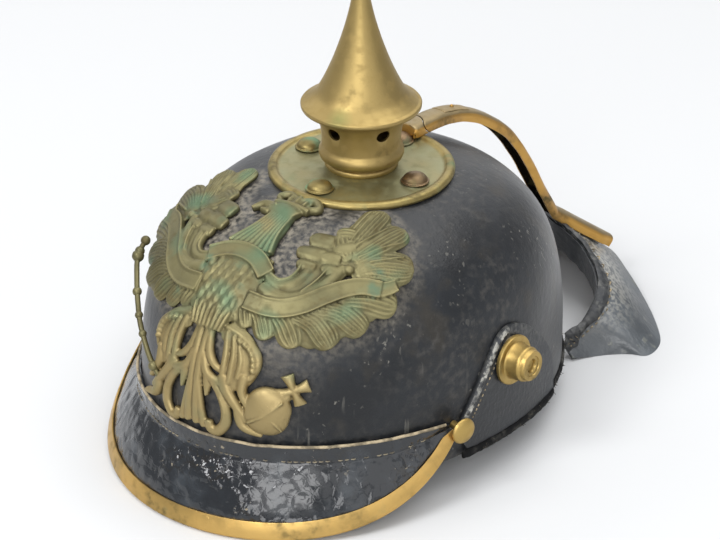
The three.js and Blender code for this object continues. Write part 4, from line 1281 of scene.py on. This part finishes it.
def addStroke(whole, row, mirror=1):
    path, rise, kind = row["path"], row["rise"], row.get("kind", "leaf")
    widths = [(w,) for w in row["wide"]]
    long = strokeLength(path)
    flatEnds = kind in ("ribbon", "flared")
    startCap, endCap = [0 if flatEnds else row["wide"][end] / 2 for end in (0, -1)]
    reach = long + startCap + endCap
    if kind != "ball":
        startCap = min(startCap, strokeForm["startCap"])
        endCap = min(endCap, long * strokeForm["endCap"])
        reach = long
    edge = rise * strokeForm["ribbonEdge" if kind == "ribbon" else "leafEdge"]
    columns = max(int(reach / plateForm["grid"]), 4)
    rows = max(int(max(row["wide"]) / plateForm["grid"]), 6)
    part = bmesh.new()
    bmesh.ops.create_grid(part, x_segments=columns, y_segments=rows, size=0.5)
    bmesh.ops.extrude_face_region(part, geom=part.faces[:])
    part.verts.ensure_lookup_table()
    half = len(part.verts) // 2
    for i, vert in enumerate(part.verts):
        run = (vert.co.x + 0.5) * reach
        side = vert.co.y * 2
        along = run - startCap if kind == "ball" else run
        share = min(max(along / long, 0), 1)
        centre = Vector(curveThrough(path, share))
        nextPlace = Vector(curveThrough(path, min(share + 0.02, 1)))
        ahead = (nextPlace - Vector(curveThrough(path, max(share - 0.02, 0)))).normalized()
        wide = curveThrough(widths, share)[0] / 2
        fromEnd = reach - run
        if endCap and fromEnd < endCap:
            wide *= math.sqrt(max(1 - (1 - fromEnd / endCap) ** 2, 0.0025))
        if startCap and run < startCap:
            wide *= math.sqrt(max(1 - (1 - run / startCap) ** 2, 0.0025))
        centre += ahead * (along - share * long)
        place = centre + Vector((-ahead.y, ahead.x)) * wide * side
        if kind == "ribbon":
            height = edge + (rise - edge) * smoothStep(abs(side), *strokeForm["ribbonLip"])
        elif kind == "ball":
            dome = max(1 - side * side, 0) ** 0.5 * max(1 - (2 * run / reach - 1) ** 2, 0) ** 0.5
            height = rise * (strokeForm["ballFoot"] + (1 - strokeForm["ballFoot"]) * dome)
        else:
            height = edge + (rise - edge) * (1 - abs(side) ** strokeForm["leafRound"])
            height += row.get("tilt", 0) * side * mirror * smoothStep(1 - abs(side), 0, 0.15)
            height *= 0.9 + 0.1 * math.sin(math.pi * share)
            if row.get("ribs"):
                fade = smoothStep(run, 0, 5) * smoothStep(fromEnd, 0.5, 4) * smoothStep(1 - abs(side), 0, 0.2)
                height += strokeForm["rib"] * fade * math.cos(math.pi * row["ribs"] * side * 2)
        vert.co = (mirror * place.x, place.y, height if i < half else 0)  # the first half is the face
    bmesh.ops.recalc_face_normals(part, faces=part.faces)
    joinTo(whole, part)


def onPlate(flat):
    across, up, lift = flat[:, 0], flat[:, 1], flat[:, 2] + plateForm["lift"]
    u = np.where(across < 0, across * plateForm["rightScale"], across) + plateForm["shift"]
    far = np.maximum(np.hypot(u, up), 1e-9)
    sin, cos = math.sin(plateForm["lean"]), math.cos(plateForm["lean"])
    swing = np.sin(far / plateForm["bend"]) / far
    ray = np.cos(far / plateForm["bend"])[:, None] * np.array([0, -cos, sin])
    ray = ray + np.stack([u, up * sin, up * cos], 1) * swing[:, None]
    centre = np.array([0, plateForm["y"], plateForm["z"]], float)
    low, high = np.zeros(len(flat)), np.full(len(flat), 260.0)
    for _ in range(40):
        middle = (low + high) / 2
        inside = skullField(centre + ray * middle[:, None]) < 0
        low, high = np.where(inside, middle, low), np.where(inside, high, middle)
    point = centre + ray * low[:, None]
    away = plateForm["stand"] * (across / plateForm["halfSpan"]) ** 2
    return point + skullNormal(point) * (lift + away)[:, None]


def meltStrokes():
    whole = bmesh.new()
    for row in pairedStrokes:
        addStroke(whole, row)
        addStroke(whole, row, -1)
    for row in singleStrokes + moreStrokes():
        addStroke(whole, row)
    flatPiece = addObject("eagle_flat", meshFrom(whole, "eagle_flat"))
    melt = flatPiece.modifiers.new("melt", "REMESH")
    melt.mode = "VOXEL"
    melt.voxel_size = plateForm["voxel"]
    melted = finishedMesh(flatPiece)
    bpy.data.objects.remove(flatPiece)
    bm = bmesh.new()
    bm.from_mesh(melted)
    bpy.data.meshes.remove(melted)
    bmesh.ops.smooth_vert(bm, verts=bm.verts, factor=0.3, use_axis_x=True, use_axis_y=True, use_axis_z=True)
    return bm


plateWear = {"blurs": 9, "hollow": 0.5, "low": (2, 4, 0.3), "worn": 0.6, "wornMost": 0.8, "cloud": 1.6,
             "cloudSize": 13, "neckUp": 54, "neckSize": (13, 15), "patina": 0.75, "tailClean": 0.35,
             "polishUp": 12, "polishOver": 25, "tailFrom": -15, "tailLong": 30}


def wearOf(bm, flat):
    form = plateWear
    height = flat[:, 2]
    pairs = np.array([[edge.verts[0].index, edge.verts[1].index] for edge in bm.edges])
    around = height.copy()
    count = np.bincount(pairs.ravel(), minlength=len(flat))
    for _ in range(form["blurs"]):  # the height of the neighbourhood, to find what lies in a hollow
        total = np.bincount(pairs[:, 0], around[pairs[:, 1]], len(flat))
        total += np.bincount(pairs[:, 1], around[pairs[:, 0]], len(flat))
        around = total / count
    under, over, most = form["low"]
    hollow = np.clip((around - height) / form["hollow"], 0, 1) + np.clip((under - height) / over, 0, most)
    worn = np.clip((height - around) / form["worn"], 0, 1) * form["wornMost"]
    return hollow, worn


def makeEagle():
    form = plateWear
    bm = meltStrokes()
    flat = np.array([vert.co for vert in bm.verts])
    hollow, worn = wearOf(bm, flat)
    flat[:, 1] += plateForm["tailLift"] * np.clip((form["tailFrom"] - flat[:, 1]) / form["tailLong"], 0, 1)
    for vert, place in zip(bm.verts, onPlate(flat)):
        vert.co = place
    across, up = flat[:, 0], flat[:, 1]
    clouds = np.array([noise.noise(Vector(place) / form["cloudSize"]) for place in flat])
    neckWide, neckTall = form["neckSize"]
    neck = np.clip(1.5 - np.hypot(across / neckWide, (up - form["neckUp"]) / neckTall), 0, 1)
    patina = np.clip(clouds * form["cloud"] + neck - 0.1, 0, 1)
    patina *= form["patina"] - form["tailClean"] * np.clip(-up / 20, 0, 1)
    piece = addPiece(bm, "stamped_eagle", "eagle_plate", "eagle_brass", eagleBrass)
    setAttribute(piece, "hollow", hollow)
    setAttribute(piece, "patina", patina)
    setAttribute(piece, "worn", worn)
    setAttribute(piece, "polish", np.clip((form["polishUp"] - up) / form["polishOver"], 0, 1))
    thin = piece.modifiers.new("thin", "DECIMATE")  # fewer faces where the plate is flat
    thin.ratio = plateForm["keep"]
    return piece


sceptreForm = {"radius": 1.3, "steps": 60, "hollow": 0.3, "knobHollow": 0.2,
               "path": [(-23, -30, 2), (-28.5, -23, 4.2), (-33.5, -15, 6), (-39, -7, 7.4), (-44, 0, 8),
                        (-51.5, 10, 9), (-58.5, 18, 9.6), (-60, 23, 9.7), (-60.5, 27.5, 9.4)],
               "knobs": ((0.1, 2.6), (0.3, 2), (0.42, 2), (0.56, 2.3), (0.78, 3), (0.84, 2.4), (0.98, 2.4))}


def makeSceptre():
    form = sceptreForm
    flat = np.array([curveThrough(form["path"], k / form["steps"]) for k in range(form["steps"] + 1)])
    rodPath = [Vector(place) for place in onPlate(flat)]
    rod = addStrands("eagle_sceptre", [rodPath], form["radius"], eagleBrass, 3)
    setAttribute(rod, "hollow", [form["hollow"]] * len(rod.data.vertices))
    bm = bmesh.new()
    for share, radius in form["knobs"]:
        place = Vector(onPlate(np.array([curveThrough(form["path"], share)]))[0])
        bmesh.ops.create_uvsphere(bm, u_segments=16, v_segments=10, radius=radius,
                                  matrix=Matrix.Translation(place))
    knobs = addPiece(bm, "eagle_sceptre_knobs", None, "eagle_brass", eagleBrass)
    setAttribute(knobs, "hollow", [form["knobHollow"]] * len(knobs.data.vertices))


grimeForm = {"reach": 0.009, "least": 0.12, "from": 55, "full": 88, "every": 8}


def markGrime(eagle):
    # dirt left on the skull close to the plate, most of it high up
    form = grimeForm
    near = list(eagle.data.vertices)[::form["every"]]
    tree = kdtree.KDTree(len(near))
    for n, vert in enumerate(near):
        tree.insert(vert.co, n)
    tree.balance()
    grime = []
    for vert in skullShell.data.vertices:
        height = 1000 * (vert.co.z - helmOrigin.z)
        most = form["least"] + (1 - form["least"]) * smoothStep(height, form["from"], form["full"])
        grime.append(most * max(1 - tree.find(vert.co)[2] / form["reach"], 0))
    setAttribute(skullShell, "grime", grime)


eagle = makeEagle()
makeSceptre()
markGrime(eagle)
print("eagle ready")


# Floor, light and camera

# White card: matt and pale, it takes soft shadows.
def makeFloor():
    bm = bmesh.new()
    bmesh.ops.create_grid(bm, x_segments=2, y_segments=2, size=4)
    floor = addObject("floor", meshFrom(bm, "floor"))
    material, tree = startMaterial("white_card")[:2]
    finishMaterial(tree, ["#c8c9ca"], [0.9], more={"Specular IOR Level": 0.1})
    floor.data.materials.append(material)


lightForm = {
    "key": {"place": (-0.25, -1.3, 1.4), "size": 0.6, "power": 18},
    "left": {"place": (-1.5, 0.1, 1.1), "size": 1.2, "power": 7},
    "top": {"place": (0.2, 0.4, 1.9), "size": 1.8, "power": 30},
    "back": {"place": (-0.9, 1.6, 1.0), "size": 1.6, "power": 8},
    "front": {"place": (0.8, -1.5, 0.8), "size": 1.0, "power": 16},
    "right": {"place": (1.6, -0.4, 0.9), "size": 1.4, "power": 6},
}


def makeLights():
    world = bpy.data.worlds.new("studio")
    world.use_nodes = True
    sky = world.node_tree.nodes["Background"]
    sky.inputs["Color"].default_value = hexColour("#fbfcff")
    sky.inputs["Strength"].default_value = 0.42
    bpy.context.scene.world = world
    aim = toFrame(middleOfHead)
    for name, form in lightForm.items():
        lamp = bpy.data.lights.new(name, "AREA")
        lamp.size = form["size"]
        lamp.energy = form["power"]
        holder = addObject(name, lamp)
        holder.location = form["place"]
        holder.rotation_euler = (aim - Vector(form["place"])).to_track_quat("-Z", "Y").to_euler()


cameraForm = {"azimuth": math.radians(36.706), "elevation": math.radians(28.418),
              "roll": math.radians(-0.188), "distance": 1304.7, "target": (3.4, -8.8, 57.5), "lens": 132.07,
              "sensor": 36}


def makeCamera():
    form = cameraForm
    data = bpy.data.cameras.new("photo_camera")
    data.lens = form["lens"]
    data.sensor_width = form["sensor"]
    camera = addObject("photo_camera", data)
    flatReach = math.cos(form["elevation"])
    back = Vector((math.sin(form["azimuth"]) * flatReach, -math.cos(form["azimuth"]) * flatReach,
                   math.sin(form["elevation"])))
    right = Vector((math.cos(form["azimuth"]), math.sin(form["azimuth"]), 0))
    turned = Matrix((right, back.cross(right), back)).transposed() @ Matrix.Rotation(form["roll"], 3, "Z")
    place = toFrame(form["target"]) + back * form["distance"] / 1000
    camera.matrix_world = Matrix.Translation(place) @ turned.to_4x4()
    bpy.context.scene.camera = camera
    bpy.context.scene.view_settings.view_transform = "Standard"


makeFloor()
makeLights()
makeCamera()
print("stage ready")
